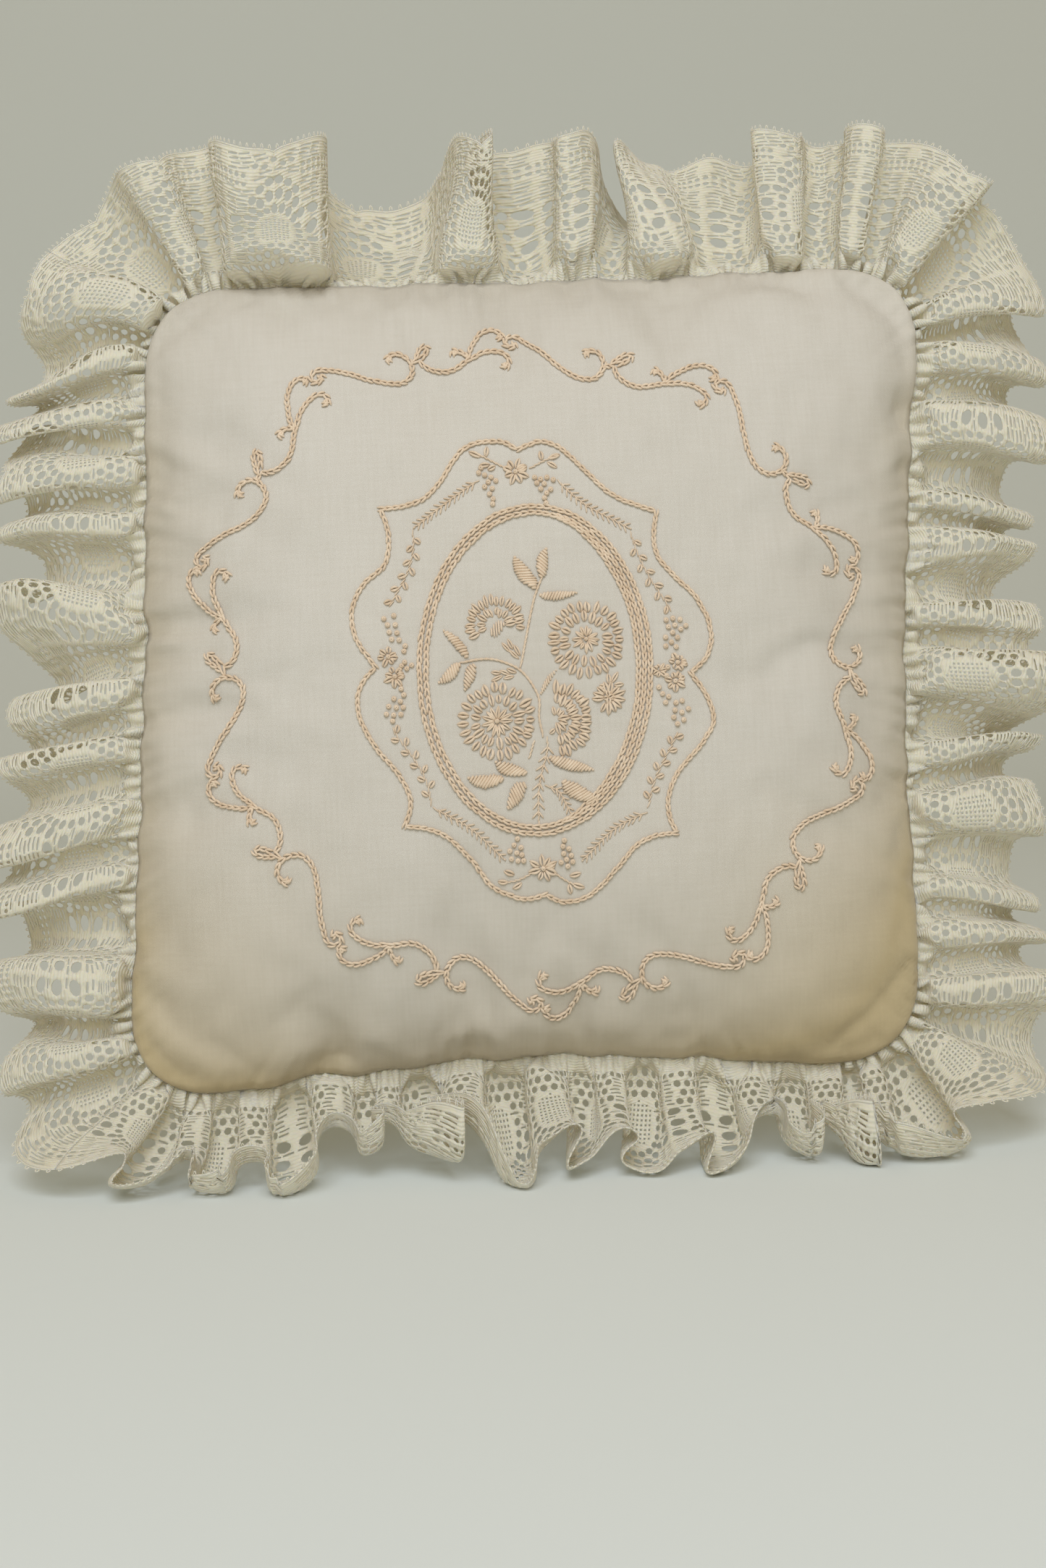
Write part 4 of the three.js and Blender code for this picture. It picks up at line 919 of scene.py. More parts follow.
def make_embroidery():
    for i, start in enumerate(SCROLL_STARTS):
        following = (i + 1) % len(SCROLL_STARTS)
        span = start - SCROLL_STARTS[following] + (0 if following else 360)
        shifts = (SCROLL_START_SHIFTS[i], SCROLL_MIDDLE_SHIFTS[i], SCROLL_START_SHIFTS[following])
        stitches = Stitches(0.4)
        for line, curl_at_start, curl_at_end in SCROLL:
            radius, clockwise = np.array(line).T
            share = clockwise / SCROLL_DRAWN_SPAN
            radius = radius + np.interp(share, (0, 0.5, 1), shifts)
            path = np.array([polar(r, start - span * at) for r, at in zip(radius, share)])
            path = curled(path[::-1])[::-1] if curl_at_start else path
            stitches.chain(curled(path) if curl_at_end else path, 2.3, 2.05)
        embroider(f"border_scroll_{i + 1}_stitches", stitches, f"border_scroll_{i + 1}")

    frame_line = Stitches(0.37)
    for line in SCALLOPS:
        frame_line.chain(line, 2.3, 1.8)
    embroider("scalloped_frame_stitches", frame_line, "scalloped_frame")
    outer = Stitches(0.4)
    outer.chain(oval(0.1, 0.1), 2.5, 2.0)
    outer.chain(oval(2.2, 2.2, -75, 78), 2.5, 1.95)
    embroider("oval_frame_outer_stitches", outer, "oval_frame_outer")
    inner = Stitches(0.4)
    inner.chain(oval(2.3, 4.2), 2.5, 2.0)
    embroider("oval_frame_inner_stitches", inner, "oval_frame_inner")

    top = Stitches()
    small_flower(top, (-6.1, 66.3), 4.4, 9)
    sprig(top, ((-9.6, 67.6), (-15.0, 70.6), (-20.0, 73.4)), (
        ((-17.6, 71.6), (-21.6, 73.4)), ((-16.0, 71.6), (-15.4, 75.4)), ((-18.2, 68.6), (-14.6, 68.8)),
        ((-15.4, 67.0), (-12.6, 68.4))))
    sprig(top, ((-1.2, 67.4), (3.4, 70.0), (8.2, 72.2)), (
        ((2.6, 70.2), (2.2, 73.4)), ((4.8, 70.8), (9.0, 72.4)), ((4.4, 69.6), (7.8, 67.6))))
    embroider("wreath_flower_top_stitches", top, "wreath_flower_top")
    bottom = Stitches()
    small_flower(bottom, (2.5, -65.9), 4.6, 9)
    sprig(bottom, ((-0.8, -67.0), (-5.6, -69.6), (-11.8, -70.8)), (
        ((-7.0, -68.0), (-10.4, -66.6)), ((-9.0, -70.4), (-12.6, -70.2)), ((-4.6, -70.6), (-7.6, -72.6))))
    sprig(bottom, ((6.0, -67.2), (9.6, -69.6), (13.0, -71.4)), (
        ((11.2, -68.4), (15.0, -67.6)), ((12.2, -71.0), (16.2, -72.2)), ((11.0, -71.0), (12.0, -74.4))))
    embroider("wreath_flower_bottom_stitches", bottom, "wreath_flower_bottom")
    left = Stitches()
    small_flower(left, (-48.6, 4.0), 3.3, 7)
    small_flower(left, (-46.4, -2.6), 3.6, 8)
    for place in ((-44.2, 1.0), (-42.4, 0.0), (-43.2, 2.2), (-40.8, 1.2), (-44.8, -0.2)):
        left.knot(place)
    embroider("wreath_flower_left_stitches", left, "wreath_flower_left")
    right = Stitches()
    small_flower(right, (47.4, 2.2), 3.0, 7)
    small_flower(right, (46.6, -4.0), 3.6, 8)
    right.rays(np.array((41.2, -0.6)), 0.7, 2.6, 7, 0, 360, 1.3, 2)
    for place in ((44.0, 0.6), (43.6, -2.2)):
        right.knot(place)
    embroider("wreath_flower_right_stitches", right, "wreath_flower_right")

    for place, knots in KNOTS.items():
        stitches = Stitches(0.34)
        for knot in knots:
            stitches.knot(knot, 0.98)
        embroider(f"knot_cluster_{place}_stitches", stitches, f"knot_cluster_{place}")
    for place, line in FERNS.items():
        stitches = Stitches(0.27)
        stitches.fern(line, 13)
        embroider(f"fern_spray_{place}_stitches", stitches, f"fern_spray_{place}")
    for place, line in VINES.items():
        stitches = Stitches(0.29)
        stitches.vine(line, 5)
        embroider(f"leaf_vine_{place}_stitches", stitches, f"leaf_vine_{place}")
    for name, (base, tip, width, bend) in SATINS.items():
        stitches = Stitches(0.44)
        stitches.satin(base, tip, width, bend)
        embroider(f"{name}_stitches", stitches, name)

    stem = Stitches(0.3)
    stem.stem(((2.5, -22.5), (1.2, -16.5), (1.2, -10.2), (-1.2, -5.2), (-4.9, -0.7), (-9.4, 1.7),
               (-14.3, 3.1), (-19.3, 3.0), (-24.2, 2.0)))
    stem.stem(((-4.9, 0.3), (-3.3, 8.7), (-1.6, 17.7), (0.0, 24.3), (2.2, 30.2)))
    stem.fern(((3.6, -22.8), (3.8, -27.0), (1.6, -36.0), (0.8, -43.0), (1.0, -50.2)), 8, 3.2, 38)
    stem.stem(((-0.6, -24.0), (-2.2, -29.8)), 1.6, 1.3)
    stem.satin((1.6, -8.6), (7.2, -0.2), 1.7, 0.5, 0.8, 0.35)
    for base, tip in STEM_LEAVES:
        stem.petal(base, tip, 1.3, 2, 0.3)
    embroider("bouquet_stem_stitches", stem, "bouquet_stem")
    fern = Stitches(0.27)
    fern.fern(((3.2, -38.8), (7.6, -40.6), (11.4, -47.4)), 6, 2.5, 40)
    embroider("bouquet_fern_stitches", fern, "bouquet_fern")

    fan_left = Stitches()
    big_flower(fan_left, (-13.0, 14.4), (
        (6.6, 10.2, 17, -4, 206, 1.6, 2), (3.2, 6.4, 10, 4, 196, 1.5, 2)))
    fan_left.satin((-14.8, 11.8), (-10.0, 15.0), 4.2, 0.0, 0.3, 0.6)
    embroider("bouquet_flower_fan_left_stitches", fan_left, "bouquet_flower_fan_left")
    flower_right = Stitches()
    big_flower(flower_right, (16.9, 9.9), (
        (9.3, 12.9, 25, 0, 360, 2.0, 2), (6.0, 9.4, 17, 10, 370, 1.9, 2), (1.2, 4.5, 12, 0, 360, 1.2, 2)))
    flower_right.knot((16.9, 9.9), 0.8)
    embroider("bouquet_flower_right_stitches", flower_right, "bouquet_flower_right")
    flower_left = Stitches()
    big_flower(flower_left, (-12.7, -17.5), (
        (9.3, 12.9, 24, 4, 364, 2.0, 2), (5.6, 9.2, 17, 0, 360, 1.9, 2), (1.2, 5.0, 13, 0, 360, 1.2, 2)))
    flower_left.knot((-12.7, -17.5), 0.9)
    embroider("bouquet_flower_left_stitches", flower_left, "bouquet_flower_left")
    fan_right = Stitches()
    big_flower(fan_right, (6.4, -17.0), (
        (9.0, 12.8, 15, -78, 88, 2.0, 2), (5.2, 9.0, 11, -72, 84, 1.9, 2), (1.4, 4.8, 7, -70, 92, 1.5, 2)))
    embroider("bouquet_flower_fan_right_stitches", fan_right, "bouquet_flower_fan_right")
    small = Stitches()
    big_flower(small, (24.3, -9.6), ((1.6, 5.6, 12, -120, 190, 1.6, 2), (0.4, 2.2, 5, -80, 170, 1.3, 2)))
    for base, tip in SMALL_FLOWER_LEAVES:
        small.petal(base, tip, 1.4, 2, 0.4)
    embroider("bouquet_flower_small_stitches", small, "bouquet_flower_small")


make_embroidery()

# ------------------------------------------------------------------ the lace, flat

DRAWN_REPEAT, DRAWN_SHORTENING = 34.0, 0.94
BALL, BALL_HALF = (17.0, 21.5), (5.6, 7.2)
FLOWER_RISE = 24.0  # flowers are centred on the ends of the repeat
NET_PITCH = DRAWN_REPEAT / 10
RIB_PITCH, SLIT_LENGTH, SLIT_GAP, SLIT_HALF = 1.25, 3.4, 0.7, 0.23


def edge_at(s):
    """The scalloped edge: deepest at the flower, a notch at the ball."""
    from_flower = (np.asarray(s) + DRAWN_REPEAT / 2) % DRAWN_REPEAT - DRAWN_REPEAT / 2
    return 46.5 + 3.5 * np.maximum(np.cos(math.pi * from_flower / DRAWN_REPEAT), 1e-6) ** 0.7


def round_holes():
    """Holes of one repeat, as ellipses: s, t, half sizes along them, and a turn in degrees."""

    def near_ball(s, t, along, out):
        return math.hypot((s - BALL[0]) / along, (t - BALL[1]) / out) < 1

    holes = []
    for row, t in enumerate((7.3, 10.1, 12.9, 15.7)):
        for i in range(10 - row % 2):
            s = NET_PITCH * (i + 0.5 + row % 2 / 2)
            from_flower = min(s, DRAWN_REPEAT - s)
            if row and (from_flower < 5.6 or near_ball(s, t, 7.0, 8.4)):
                continue
            holes.append((s, t, 1.2 if row else 1.05, 1.1 if row else 0.95, 0))
    for flower, side in ((0, 1), (DRAWN_REPEAT, -1)):
        for up in (-1, 0, 1):
            s = flower + side * (4.2 if up == 0 else 3.8)
            holes.append((s, FLOWER_RISE + 4.6 * up, 2.7, 1.5 - 0.15 * abs(up), 11 * side * up))
        for drop in (9.6, 7.3):
            for i in range(4):
                s = flower + side * (1.15 + 2.3 * i)
                holes.append((s, float(edge_at(s)) - drop, 0.78, 0.62, 0))
    for row in range(11):
        for i in range(-4, 5):
            s, t = BALL[0] + 1.3 * i, BALL[1] - 6.5 + 1.3 * row
            if math.hypot((s - BALL[0]) / (BALL_HALF[0] - 0.5), (t - BALL[1]) / (BALL_HALF[1] - 0.5)) < 1:
                holes.append((s, t, 0.44, 0.44, 45))
    for count, along, out, across, outwards, opening in (
        (13, 7.8, 9.7, 0.95, 1.3, 100), (8, 9.9, 13.4, 1.12, 1.5, 58), (6, 10.6, 17.2, 1.3, 1.15, 38),
    ):
        for angle in np.radians(np.linspace(90 - opening, 90 + opening, count)):
            s, t = BALL[0] + along * math.cos(angle), BALL[1] + out * math.sin(angle)
            holes.append((s, t, across, outwards, math.degrees(angle) - 90))
    for s, t in ((-5.2, 43.9), (-2.6, 43.0), (0.0, 44.4), (2.6, 43.0), (5.2, 43.9)):
        holes.append((BALL[0] + s, t, 0.95, 0.7, 0))
    return holes


def in_round_hole(holes, s, t, margin=0.0):
    hit = np.zeros(np.shape(s), dtype=bool)
    for middle_s, middle_t, half_s, half_t, turn in holes:
        cos, sin = math.cos(math.radians(turn)), math.sin(math.radians(turn))
        a = (s - middle_s) * cos + (t - middle_t) * sin
        b = (t - middle_t) * cos - (s - middle_s) * sin
        hit |= np.hypot(a / (half_s + margin), b / (half_t + margin)) < 1
    return hit


def rib_slits(holes):
    """Slits between the ribs of the close-woven parts: where each starts, and how far out it is."""
    slits = []
    for row, t in enumerate(np.arange(9.0, 49.0, RIB_PITCH)):
        s = 0.5 + 0.35 * (SLIT_LENGTH + SLIT_GAP) * (row * 0.618 % 1)
        while s + SLIT_LENGTH < DRAWN_REPEAT - 0.4:
            along = np.linspace(s, s + SLIT_LENGTH, 8)
            if in_round_hole(holes, along, t, 0.62).any() or (edge_at(along) - 1.1 < t).any():
                s += 0.4
            else:
                slits.append((s, float(t)))
                s += SLIT_LENGTH + SLIT_GAP
    return slits


def doubled_areas(points, triangles):
    """Twice the area of each flat triangle, negative where it runs clockwise."""
    a, b, c = (points[triangles[:, i]] for i in range(3))
    return (b[:, 0] - a[:, 0]) * (c[:, 1] - a[:, 1]) - (b[:, 1] - a[:, 1]) * (c[:, 0] - a[:, 0])


def lace_repeat():
    """One repeat, flat: its points and its triangles."""
    holes = round_holes()
    slits = rib_slits(holes)
    side = [(0.0, t) for t in np.linspace(-0.6, float(edge_at(0)), 31)]
    heading = [(s, -0.6) for s in np.linspace(0, DRAWN_REPEAT, 35)[1:-1]]
    along_edge = [(s, float(edge_at(s))) for s in np.linspace(0, DRAWN_REPEAT, 35)[1:-1]]
    points = side + [(DRAWN_REPEAT, t) for _, t in side] + heading + along_edge
    count = len(side)
    first, last = list(range(count)), list(range(count, 2 * count))
    low = [first[0], *range(2 * count, 2 * count + len(heading)), last[0]]
    high = [first[-1], *range(2 * count + len(heading), len(points)), last[-1]]
    edges = [pair for line in (first, last, low, high) for pair in zip(line[:-1], line[1:])]
    rings = []
    for s, t, half_s, half_t, turn in holes:
        corners = 4 if max(half_s, half_t) < 0.5 else 8 if max(half_s, half_t) < 1.5 else 10
        cos, sin = math.cos(math.radians(turn)), math.sin(math.radians(turn))
        angles = np.linspace(0, 2 * math.pi, corners, endpoint=False)
        a, b = half_s * np.cos(angles), half_t * np.sin(angles)
        rings.append(list(zip(s + a * cos - b * sin, t + a * sin + b * cos)))
    for s, t in slits:
        run = [s, s + SLIT_LENGTH / 2, s + SLIT_LENGTH]
        rings.append([(x, t - SLIT_HALF) for x in run] + [(x, t + SLIT_HALF) for x in run[::-1]])
    for ring in rings:
        edges += [(len(points) + i, len(points) + (i + 1) % len(ring)) for i in range(len(ring))]
        points += ring

    def in_hole(s, t, margin=0.0):
        hit = in_round_hole(holes, s, t, margin)
        for start, rise in slits:
            beside = np.abs(s - start - SLIT_LENGTH / 2) < SLIT_LENGTH / 2 + margin
            hit |= beside & (np.abs(t - rise) < SLIT_HALF + margin)
        return hit

    for row, t in enumerate(np.arange(0.6, 49.4, 1.6)):
        for s in np.arange(0.9 + 0.8 * (row % 2), DRAWN_REPEAT - 0.6, 1.6):
            if t < edge_at(s) - 0.7 and not in_hole(np.array(s), np.array(t), 0.45):
                points.append((s, t))
    cut = delaunay_2d_cdt([Vector(p) for p in points], edges, [], 0, 1e-5)
    flat = np.array([tuple(v) for v in cut[0]])
    triangles = np.array([f for f in cut[2] if len(f) == 3])
    centre = flat[triangles].mean(axis=1)
    triangles = triangles[~in_hole(centre[:, 0], centre[:, 1]) & (centre[:, 1] < edge_at(centre[:, 0]))]
    backwards = doubled_areas(flat, triangles) < 0
    triangles = np.where(backwards[:, None], triangles[:, ::-1], triangles)
    used, triangles = np.unique(triangles, return_inverse=True)
    return flat[used], triangles.reshape(-1, 3)


# ------------------------------------------------------------------ the lace, gathered

REPEAT = LACE_FLAT_LENGTH / LACE_REPEATS
# The number of draws is fixed, so that another number of flutes leaves all later draws as they are.
FULLNESS_DRAWS, MOST_FLUTES = 43, 60
FULLNESSES = iter(np.resize(random.uniform(0.9, 1.1, FULLNESS_DRAWS), MOST_FLUTES))
flute_bases, flute_lengths, on_corner = [], [], []
for side_length, widths in zip(SIDE_LENGTHS, SIDE_FLUTES):
    for run, flat_run, shares in (
        (QUARTER, CORNER_FLAT_LENGTH, np.array(CORNER_FLUTES)),
        (side_length, LACE_FLAT_LENGTH / 4 - CORNER_FLAT_LENGTH, np.array(widths)),
    ):
        fuller = shares**0.8 * [next(FULLNESSES) for _ in shares]
        flute_bases += list(run * shares / shares.sum())
        flute_lengths += list(flat_run * fuller / fuller.sum())
        on_corner += [run == QUARTER] * len(shares)
flute_bases, flute_lengths = np.array(flute_bases), np.array(flute_lengths)
ON_CORNER = np.array(on_corner)
BASE_STARTS = np.cumsum(flute_bases) - flute_bases
FLAT_STARTS = np.cumsum(flute_lengths) - flute_lengths
GATHERS = np.maximum(np.round(flute_bases / GATHER_PITCH), 2)


def fold_table():
    """Folds as sine-generated curves: how far along and aside, by steepness and share of the fold."""
    steepness = np.linspace(0.0, 2.2, 45)[:, None]
    share = np.linspace(0, 1, 257)[None, :]
    heading = steepness * np.cos(2 * math.pi * share)
    forward, aside = np.cos(heading), np.sin(heading)
    step = share[0, 1]
    along = np.cumsum((forward[:, 1:] + forward[:, :-1]) / 2, axis=1) * step
    across = np.cumsum((aside[:, 1:] + aside[:, :-1]) / 2, axis=1) * step
    along, across = (np.pad(values, ((0, 0), (1, 0))) for values in (along, across))
    return along[:, -1], along / along[:, -1:], across


FOLD_RATIOS, FOLD_ALONG, FOLD_ACROSS = fold_table()


def read_table(table, level, place):
    i = np.clip(level.astype(int), 0, table.shape[0] - 2)
    j = np.clip(place.astype(int), 0, table.shape[1] - 2)
    a, b = level - i, place - j
    near = table[i, j] * (1 - b) + table[i, j + 1] * b
    far = table[i + 1, j] * (1 - b) + table[i + 1, j + 1] * b
    return near * (1 - a) + far * a


def fold(share, ratio):
    """Where a share of a fold lies, if the fold takes up that ratio of its flat length."""
    level = np.interp(-np.clip(ratio, 0.13, 0.995), -FOLD_RATIOS, np.arange(len(FOLD_RATIOS)))
    place = np.clip(share, 0, 1) * (FOLD_ALONG.shape[1] - 1)
    return read_table(FOLD_ALONG, level, place), read_table(FOLD_ACROSS, level, place)


def roll_table():
    """Profiles of a rolled ruffle: how far down and forwards, by strength of the roll and distance."""
    heading = ROLLS[:, None] * np.interp(ROLL_PLACES, ROLL_REACHES, ROLL_TURNS)
    table = []
    for values in (np.cos(heading), np.sin(heading)):
        steps = (values[:, 1:] + values[:, :-1]) / 2 * ROLL_PLACES[1]
        table.append(np.pad(np.cumsum(steps, axis=1), ((0, 0), (1, 0))))
    return table


ROLLS, ROLL_PLACES = np.linspace(0, MOST_ROLL, 31), np.linspace(0, ROLL_REACHES[-1], 113)
ROLL_DOWN, ROLL_FORWARD = roll_table()
ROLL_LOWEST = ROLL_DOWN[:, ROLL_PLACES <= LACE_WIDTH].max(axis=1) + ROLL_CLEARANCE * np.minimum(ROLLS, 1)

lean_of = ripples(60, 200, 7)
curl_of = ripples(45, 160, 7)
gather_of = ripples(7, 30, 9)
drift_of = ripples(50, 200, 7)
pitch_of = ripples(9, 40, 9)
pucker_of = ripples(12, 60, 9)


def lace_middle(s, t):
    """The gathered lace in the part's frame, in mm, at flat places s along it and t from the seam."""
    s, t = np.broadcast_arrays(np.asarray(s, dtype=float) % LACE_FLAT_LENGTH, np.asarray(t, dtype=float))
    k = np.clip(np.searchsorted(FLAT_STARTS, s, side="right") - 1, 0, len(FLAT_STARTS) - 1)
    share = (s - FLAT_STARTS[k]) / flute_lengths[k]
    widening = np.where(ON_CORNER[k], 1 + np.maximum(t, 0) / CORNER, 1.0)
    ratio = flute_bases[k] * widening / flute_lengths[k]
    along, aside = fold(share, ratio)
    bent = pitch_of(BASE_STARTS[k] + flute_bases[k] * share)
    gather = share * GATHERS[k] + 0.3 * bent * np.sin(math.pi * share) ** 2
    whole = np.minimum(np.floor(gather), GATHERS[k] - 1)
    small_along, small_aside = fold(gather - whole, ratio)
    small_along = (whole + small_along) / GATHERS[k]
    pucker = np.clip(pucker_of(BASE_STARTS[k] + flute_bases[k] * share), -1.2, 1.2)
    opened = smoothstep(t, 0.5, 9.5 + 3.5 * pucker)
    distance = BASE_STARTS[k] + flute_bases[k] * ((1 - opened) * small_along + opened * along)
    puffy = 1 + 0.6 * np.clip(gather_of(distance), -1.2, 1.2)
    puff = small_aside / GATHERS[k] * puffy * (0.35 + 0.65 * smoothstep(t, 0, 3))
    wave = flute_lengths[k] * ((1 - opened) * puff + opened * aside * (0.72 + 0.2 * smoothstep(t, 15, 46)))
    spread = smoothstep(t, 4, 40)
    distance = distance + (0.42 * lean_of(distance) * wave + 3.2 * drift_of(distance)) * spread
    point, normal = outline(distance)
    seam = np.stack([point[:, 0], np.zeros_like(s), point[:, 1]], axis=-1) @ TILT.T + MIDDLE / MM
    outwards = np.stack([normal[:, 0], np.zeros_like(s), normal[:, 1]], axis=-1) @ TILT.T
    downwards = -outwards[:, 2]
    clear = (seam[:, 2] - downwards * ROLL_LOWEST[:, None] >= 0.8) | (downwards <= 0)
    roll = np.where(clear.any(axis=0), ROLLS[np.argmax(clear, axis=0)], MOST_ROLL)
    roll = np.maximum(roll, smoothstep(downwards, 0.3, 0.95))
    settled = smoothstep(roll, 0, 0.5)
    backwards = SIDE_BEND * smoothstep(np.abs(outwards[:, 0]), 0.7, 1.0) * (1 - settled)
    backwards += TOP_DIP_BEND * np.exp(-(((point[:, 0] - TOP_DIP) / TOP_DIP_HALF) ** 2)) * (downwards < -0.9)
    roll = np.minimum((roll - backwards) * (1 + 0.14 * lean_of(distance)), MOST_ROLL)
    wave = wave * (1 - (1 - ROLLED_FLUTES) * settled) + 4.0 * curl_of(distance) * spread**2
    reach = np.where(t > 0, np.sqrt(np.maximum(t**2 - wave**2, (0.6 * t) ** 2)), t)
    depthwise = TILT[:, 1] * (1 - settled[:, None]) + np.array([0, 1, 0]) * settled[:, None]
    depthwise /= np.linalg.norm(depthwise, axis=1, keepdims=True)
    turn = roll * np.interp(reach, ROLL_REACHES, ROLL_TURNS)
    level, along_profile = np.abs(roll) / ROLLS[1], np.maximum(reach, 0) / ROLL_PLACES[1]
    fall = read_table(ROLL_DOWN, level, along_profile) + np.minimum(reach, 0) + wave * np.sin(turn)
    depth = wave * np.cos(turn) - np.sign(roll) * read_table(ROLL_FORWARD, level, along_profile)
    place = seam + outwards * fall[:, None] + depthwise * depth[:, None]
    place[:, 2] -= 2.5 * (np.maximum(t, 0) / LACE_WIDTH) ** 2 * np.abs(outwards[:, 0])
    above = place[:, 2] - 0.5
    place[:, 2] = 0.5 + (above + np.sqrt(above**2 + 1.0)) / 2
    return place


def on_lace(flat):
    """Places on the lace, as s, t and lift towards the back, to metres of the part's frame."""
    s, t = flat[:, 0], flat[:, 1]
    step = 0.35
    along = lace_middle(s + step, t) - lace_middle(s - step, t)
    outwards = lace_middle(s, t + step) - lace_middle(s, t - step)
    normal = np.cross(along, outwards)
    normal /= np.maximum(np.linalg.norm(normal, axis=1, keepdims=True), 1e-9)
    return (lace_middle(s, t) + normal * flat[:, 2:]) * MM


def to_strip(drawn, repeat, first):
    """Drawn places of one repeat to the strip's own flat coordinates."""
    scaled = drawn * [REPEAT / DRAWN_REPEAT, DRAWN_SHORTENING]
    return scaled + [first + repeat * REPEAT, 0]


def make_lace():
    flat, triangles = lace_repeat()
    on_first = np.flatnonzero(flat[:, 0] < 1e-4)
    on_last = np.flatnonzero(flat[:, 0] > DRAWN_REPEAT - 1e-4)
    on_first, on_last = (group[np.argsort(flat[group, 1])] for group in (on_first, on_last))
    per_side = LACE_REPEATS // 4
    first_of_side = CORNER_FLAT_LENGTH / 2
    own = np.setdiff1d(np.arange(len(flat)), on_last)
    place_of = np.empty(len(flat), dtype=int)
    place_of[own] = np.arange(len(own))
    place_of[on_last] = place_of[on_first] + len(own)
    for side, name in enumerate(("right", "top", "left", "bottom")):
        first = first_of_side + side * LACE_FLAT_LENGTH / 4
        strip = [to_strip(flat[own], repeat, first) for repeat in range(per_side)]
        drawn = [flat[own]] * per_side + [flat[on_last]]
        # The last repeat's far edge takes the next free numbers, in the order of the first edge.
        strip.append(to_strip(flat[on_first], per_side, first))
        numbers = np.concatenate([place_of[triangles] + repeat * len(own) for repeat in range(per_side)])
        numbers = close_up(numbers, per_side, len(own), place_of[on_first])
        points = np.concatenate(strip)
        count = len(points)
        half = LACE_THICKNESS / 2
        back = on_lace(np.column_stack([points, np.full(count, half)]))
        front = on_lace(np.column_stack([points, np.full(count, -half)]))
        rim = rim_edges(numbers)
        sides = np.concatenate([
            np.column_stack([rim[:, 1], rim[:, 0], rim[:, 0] + count]),
            np.column_stack([rim[:, 1], rim[:, 0] + count, rim[:, 1] + count]),
        ])
        faces = np.concatenate([numbers, numbers[:, ::-1] + count, sides])
        piece = triangle_object(f"lace_ruffle_{name}_lace", np.concatenate([back, front]), faces, LACE)
        attribute = piece.data.attributes.new("flat", "FLOAT_VECTOR", "POINT")
        drawn_points = np.concatenate(drawn)
        to_edge = edge_at(drawn_points[:, 0]) - drawn_points[:, 1]
        values = np.column_stack([points, to_edge])
        attribute.data.foreach_set("vector", np.concatenate([values, values]).astype(np.float32).ravel())
        finish_piece(piece, "cotton_lace", f"lace_ruffle_{name}")
        edging = make_edging(name, first, per_side)


def close_up(numbers, per_side, step, first_edge):
    """Points of the far edge of the last repeat are numbered straight after all the others."""
    far = first_edge + per_side * step
    table = np.arange(numbers.max() + 1)
    table[far] = per_side * step + np.arange(len(far))
    return table[numbers]


def rim_edges(triangles):
    """Edges that belong to one triangle only, each in that triangle's direction."""
    edges = np.concatenate([triangles[:, [0, 1]], triangles[:, [1, 2]], triangles[:, [2, 0]]])
    key = np.sort(edges, axis=1)
    key = key[:, 0] * (triangles.max() + 1) + key[:, 1]
    _, index, count = np.unique(key, return_index=True, return_counts=True)
    return edges[index[count == 1]]


PICOTS = 16  # along one repeat


def make_edging(name, first, per_side):
    """The cord round the scallops, and the picots on it."""
    stitches = Stitches(0.3)
    edge = np.arange(0, DRAWN_REPEAT * per_side + 0.01, 0.85)
    cord = np.column_stack([edge, edge_at(edge)]) * [REPEAT / DRAWN_REPEAT, DRAWN_SHORTENING] + [first, 0]
    stitches.strand(cord, 0.0, 0.3)
    pitch = DRAWN_REPEAT / PICOTS
    bow = np.linspace(0, math.pi, 7)
    for i in range(PICOTS * per_side):
        middle = (i + 0.5) * pitch
        s = middle - 0.34 * np.cos(bow)
        t = edge_at(s) + 1.6 * np.sin(bow)
        loop = np.column_stack([s, t]) * [REPEAT / DRAWN_REPEAT, DRAWN_SHORTENING] + [first, 0]
        stitches.strand(loop, 0.0, 0.15)
    edging = stitches.build(f"lace_edging_{name}", on_lace, LACE)
    finish_piece(edging, "cotton_lace")
    return edging


make_lace()

# ------------------------------------------------------------------ camera, stage and light

LENS, SENSOR = 50.0, 36.0
DISTANCE = 0.699
AZIMUTH, PITCH, ROLL = math.radians(-2.6), math.radians(4.3), math.radians(2.25)
MIDDLE_RIGHT, MIDDLE_UP = 0.005, 0.07  # of the frame's long side, from its centre


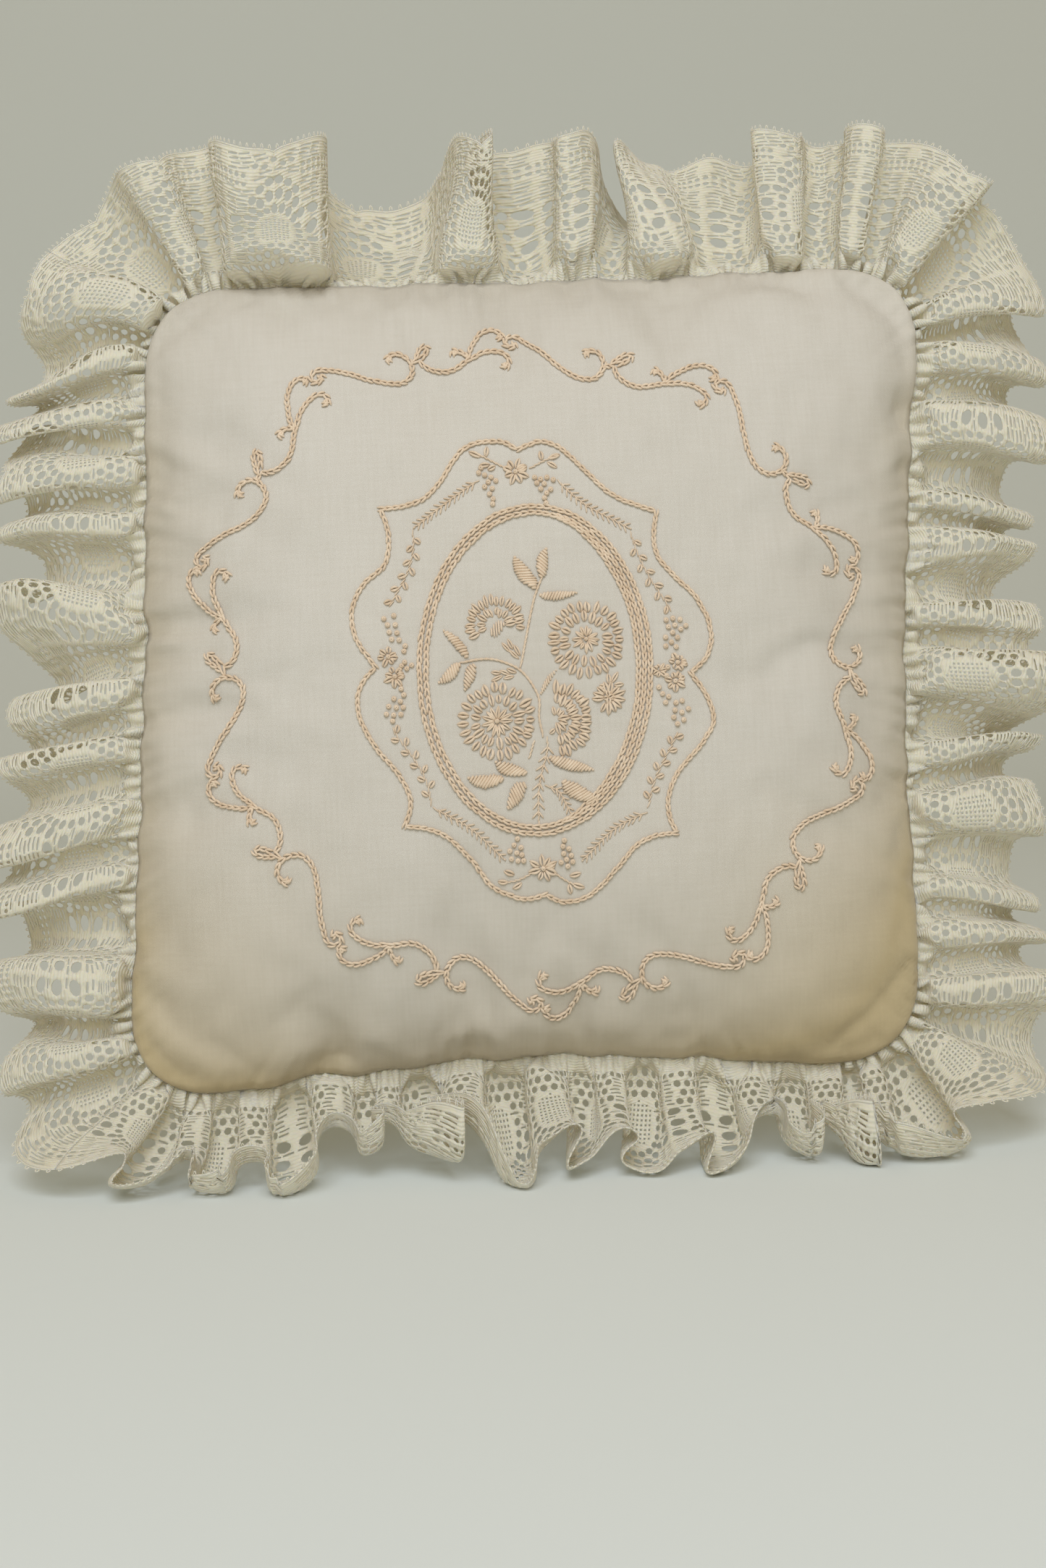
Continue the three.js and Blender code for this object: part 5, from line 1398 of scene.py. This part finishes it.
def make_camera():
    data = bpy.data.cameras.new("camera")
    data.lens, data.sensor_width = LENS, SENSOR
    camera = bpy.data.objects.new("camera", data)
    bpy.context.collection.objects.link(camera)
    level = math.cos(PITCH)
    forward = Vector((-math.sin(AZIMUTH) * level, math.cos(AZIMUTH) * level, -math.sin(PITCH)))
    turn = forward.to_track_quat("-Z", "Y") @ Matrix.Rotation(-ROLL, 4, "Z").to_quaternion()
    camera.rotation_mode = "QUATERNION"
    camera.rotation_quaternion = turn
    reach = SENSOR / LENS * DISTANCE
    camera.location = Vector(MIDDLE) - turn @ Vector((MIDDLE_RIGHT * reach, MIDDLE_UP * reach, -DISTANCE))
    bpy.context.scene.camera = camera


def make_stage():
    """A pale sweep: floor in front, rising behind in one curve."""
    front, back, rise, bend, half = -2.2, 1.15, 2.6, 0.5, 3.0
    profile = [(front, 0.0), (back, 0.0)]
    turns = np.linspace(0.1, math.pi / 2, 14)
    profile += [(back + bend * math.sin(a), bend * (1 - math.cos(a))) for a in turns]
    profile += [(back + bend, rise)]
    points = [(x, y, z) for y, z in profile for x in (-half, half)]
    faces = [(2 * i, 2 * i + 1, 2 * i + 3, 2 * i + 2) for i in range(len(profile) - 1)]
    stage = mesh_object("stage", points, faces)
    stage.data.materials.append(new_material("backdrop", (0.80, 0.85, 0.845), 0.9)[0])


def area_light(name, location, target, size, power, color):
    data = bpy.data.lights.new(name, "AREA")
    data.energy, data.size, data.color = power, size, color
    light = bpy.data.objects.new(name, data)
    light.location = location
    light.rotation_mode = "QUATERNION"
    light.rotation_quaternion = (Vector(target) - Vector(location)).to_track_quat("-Z", "Y")
    bpy.context.collection.objects.link(light)


WORLD_COLOR, WORLD_STRENGTH = (1.0, 0.81, 0.49, 1), 0.33
KEY_PLACE, KEY_SIZE, KEY_POWER, KEY_COLOR = (-0.12, -1.5, 1.36), 1.3, 26.0, (0.865, 0.92, 1.0)


def make_light():
    world = bpy.data.worlds.new("world")
    bpy.context.scene.world = world
    world.use_nodes = True
    background = world.node_tree.nodes["Background"]
    background.inputs["Color"].default_value = WORLD_COLOR
    background.inputs["Strength"].default_value = WORLD_STRENGTH
    area_light("key", KEY_PLACE, MIDDLE, KEY_SIZE, KEY_POWER, KEY_COLOR)


make_camera()
make_stage()
make_light()
bpy.context.scene.view_settings.view_transform = "Standard"
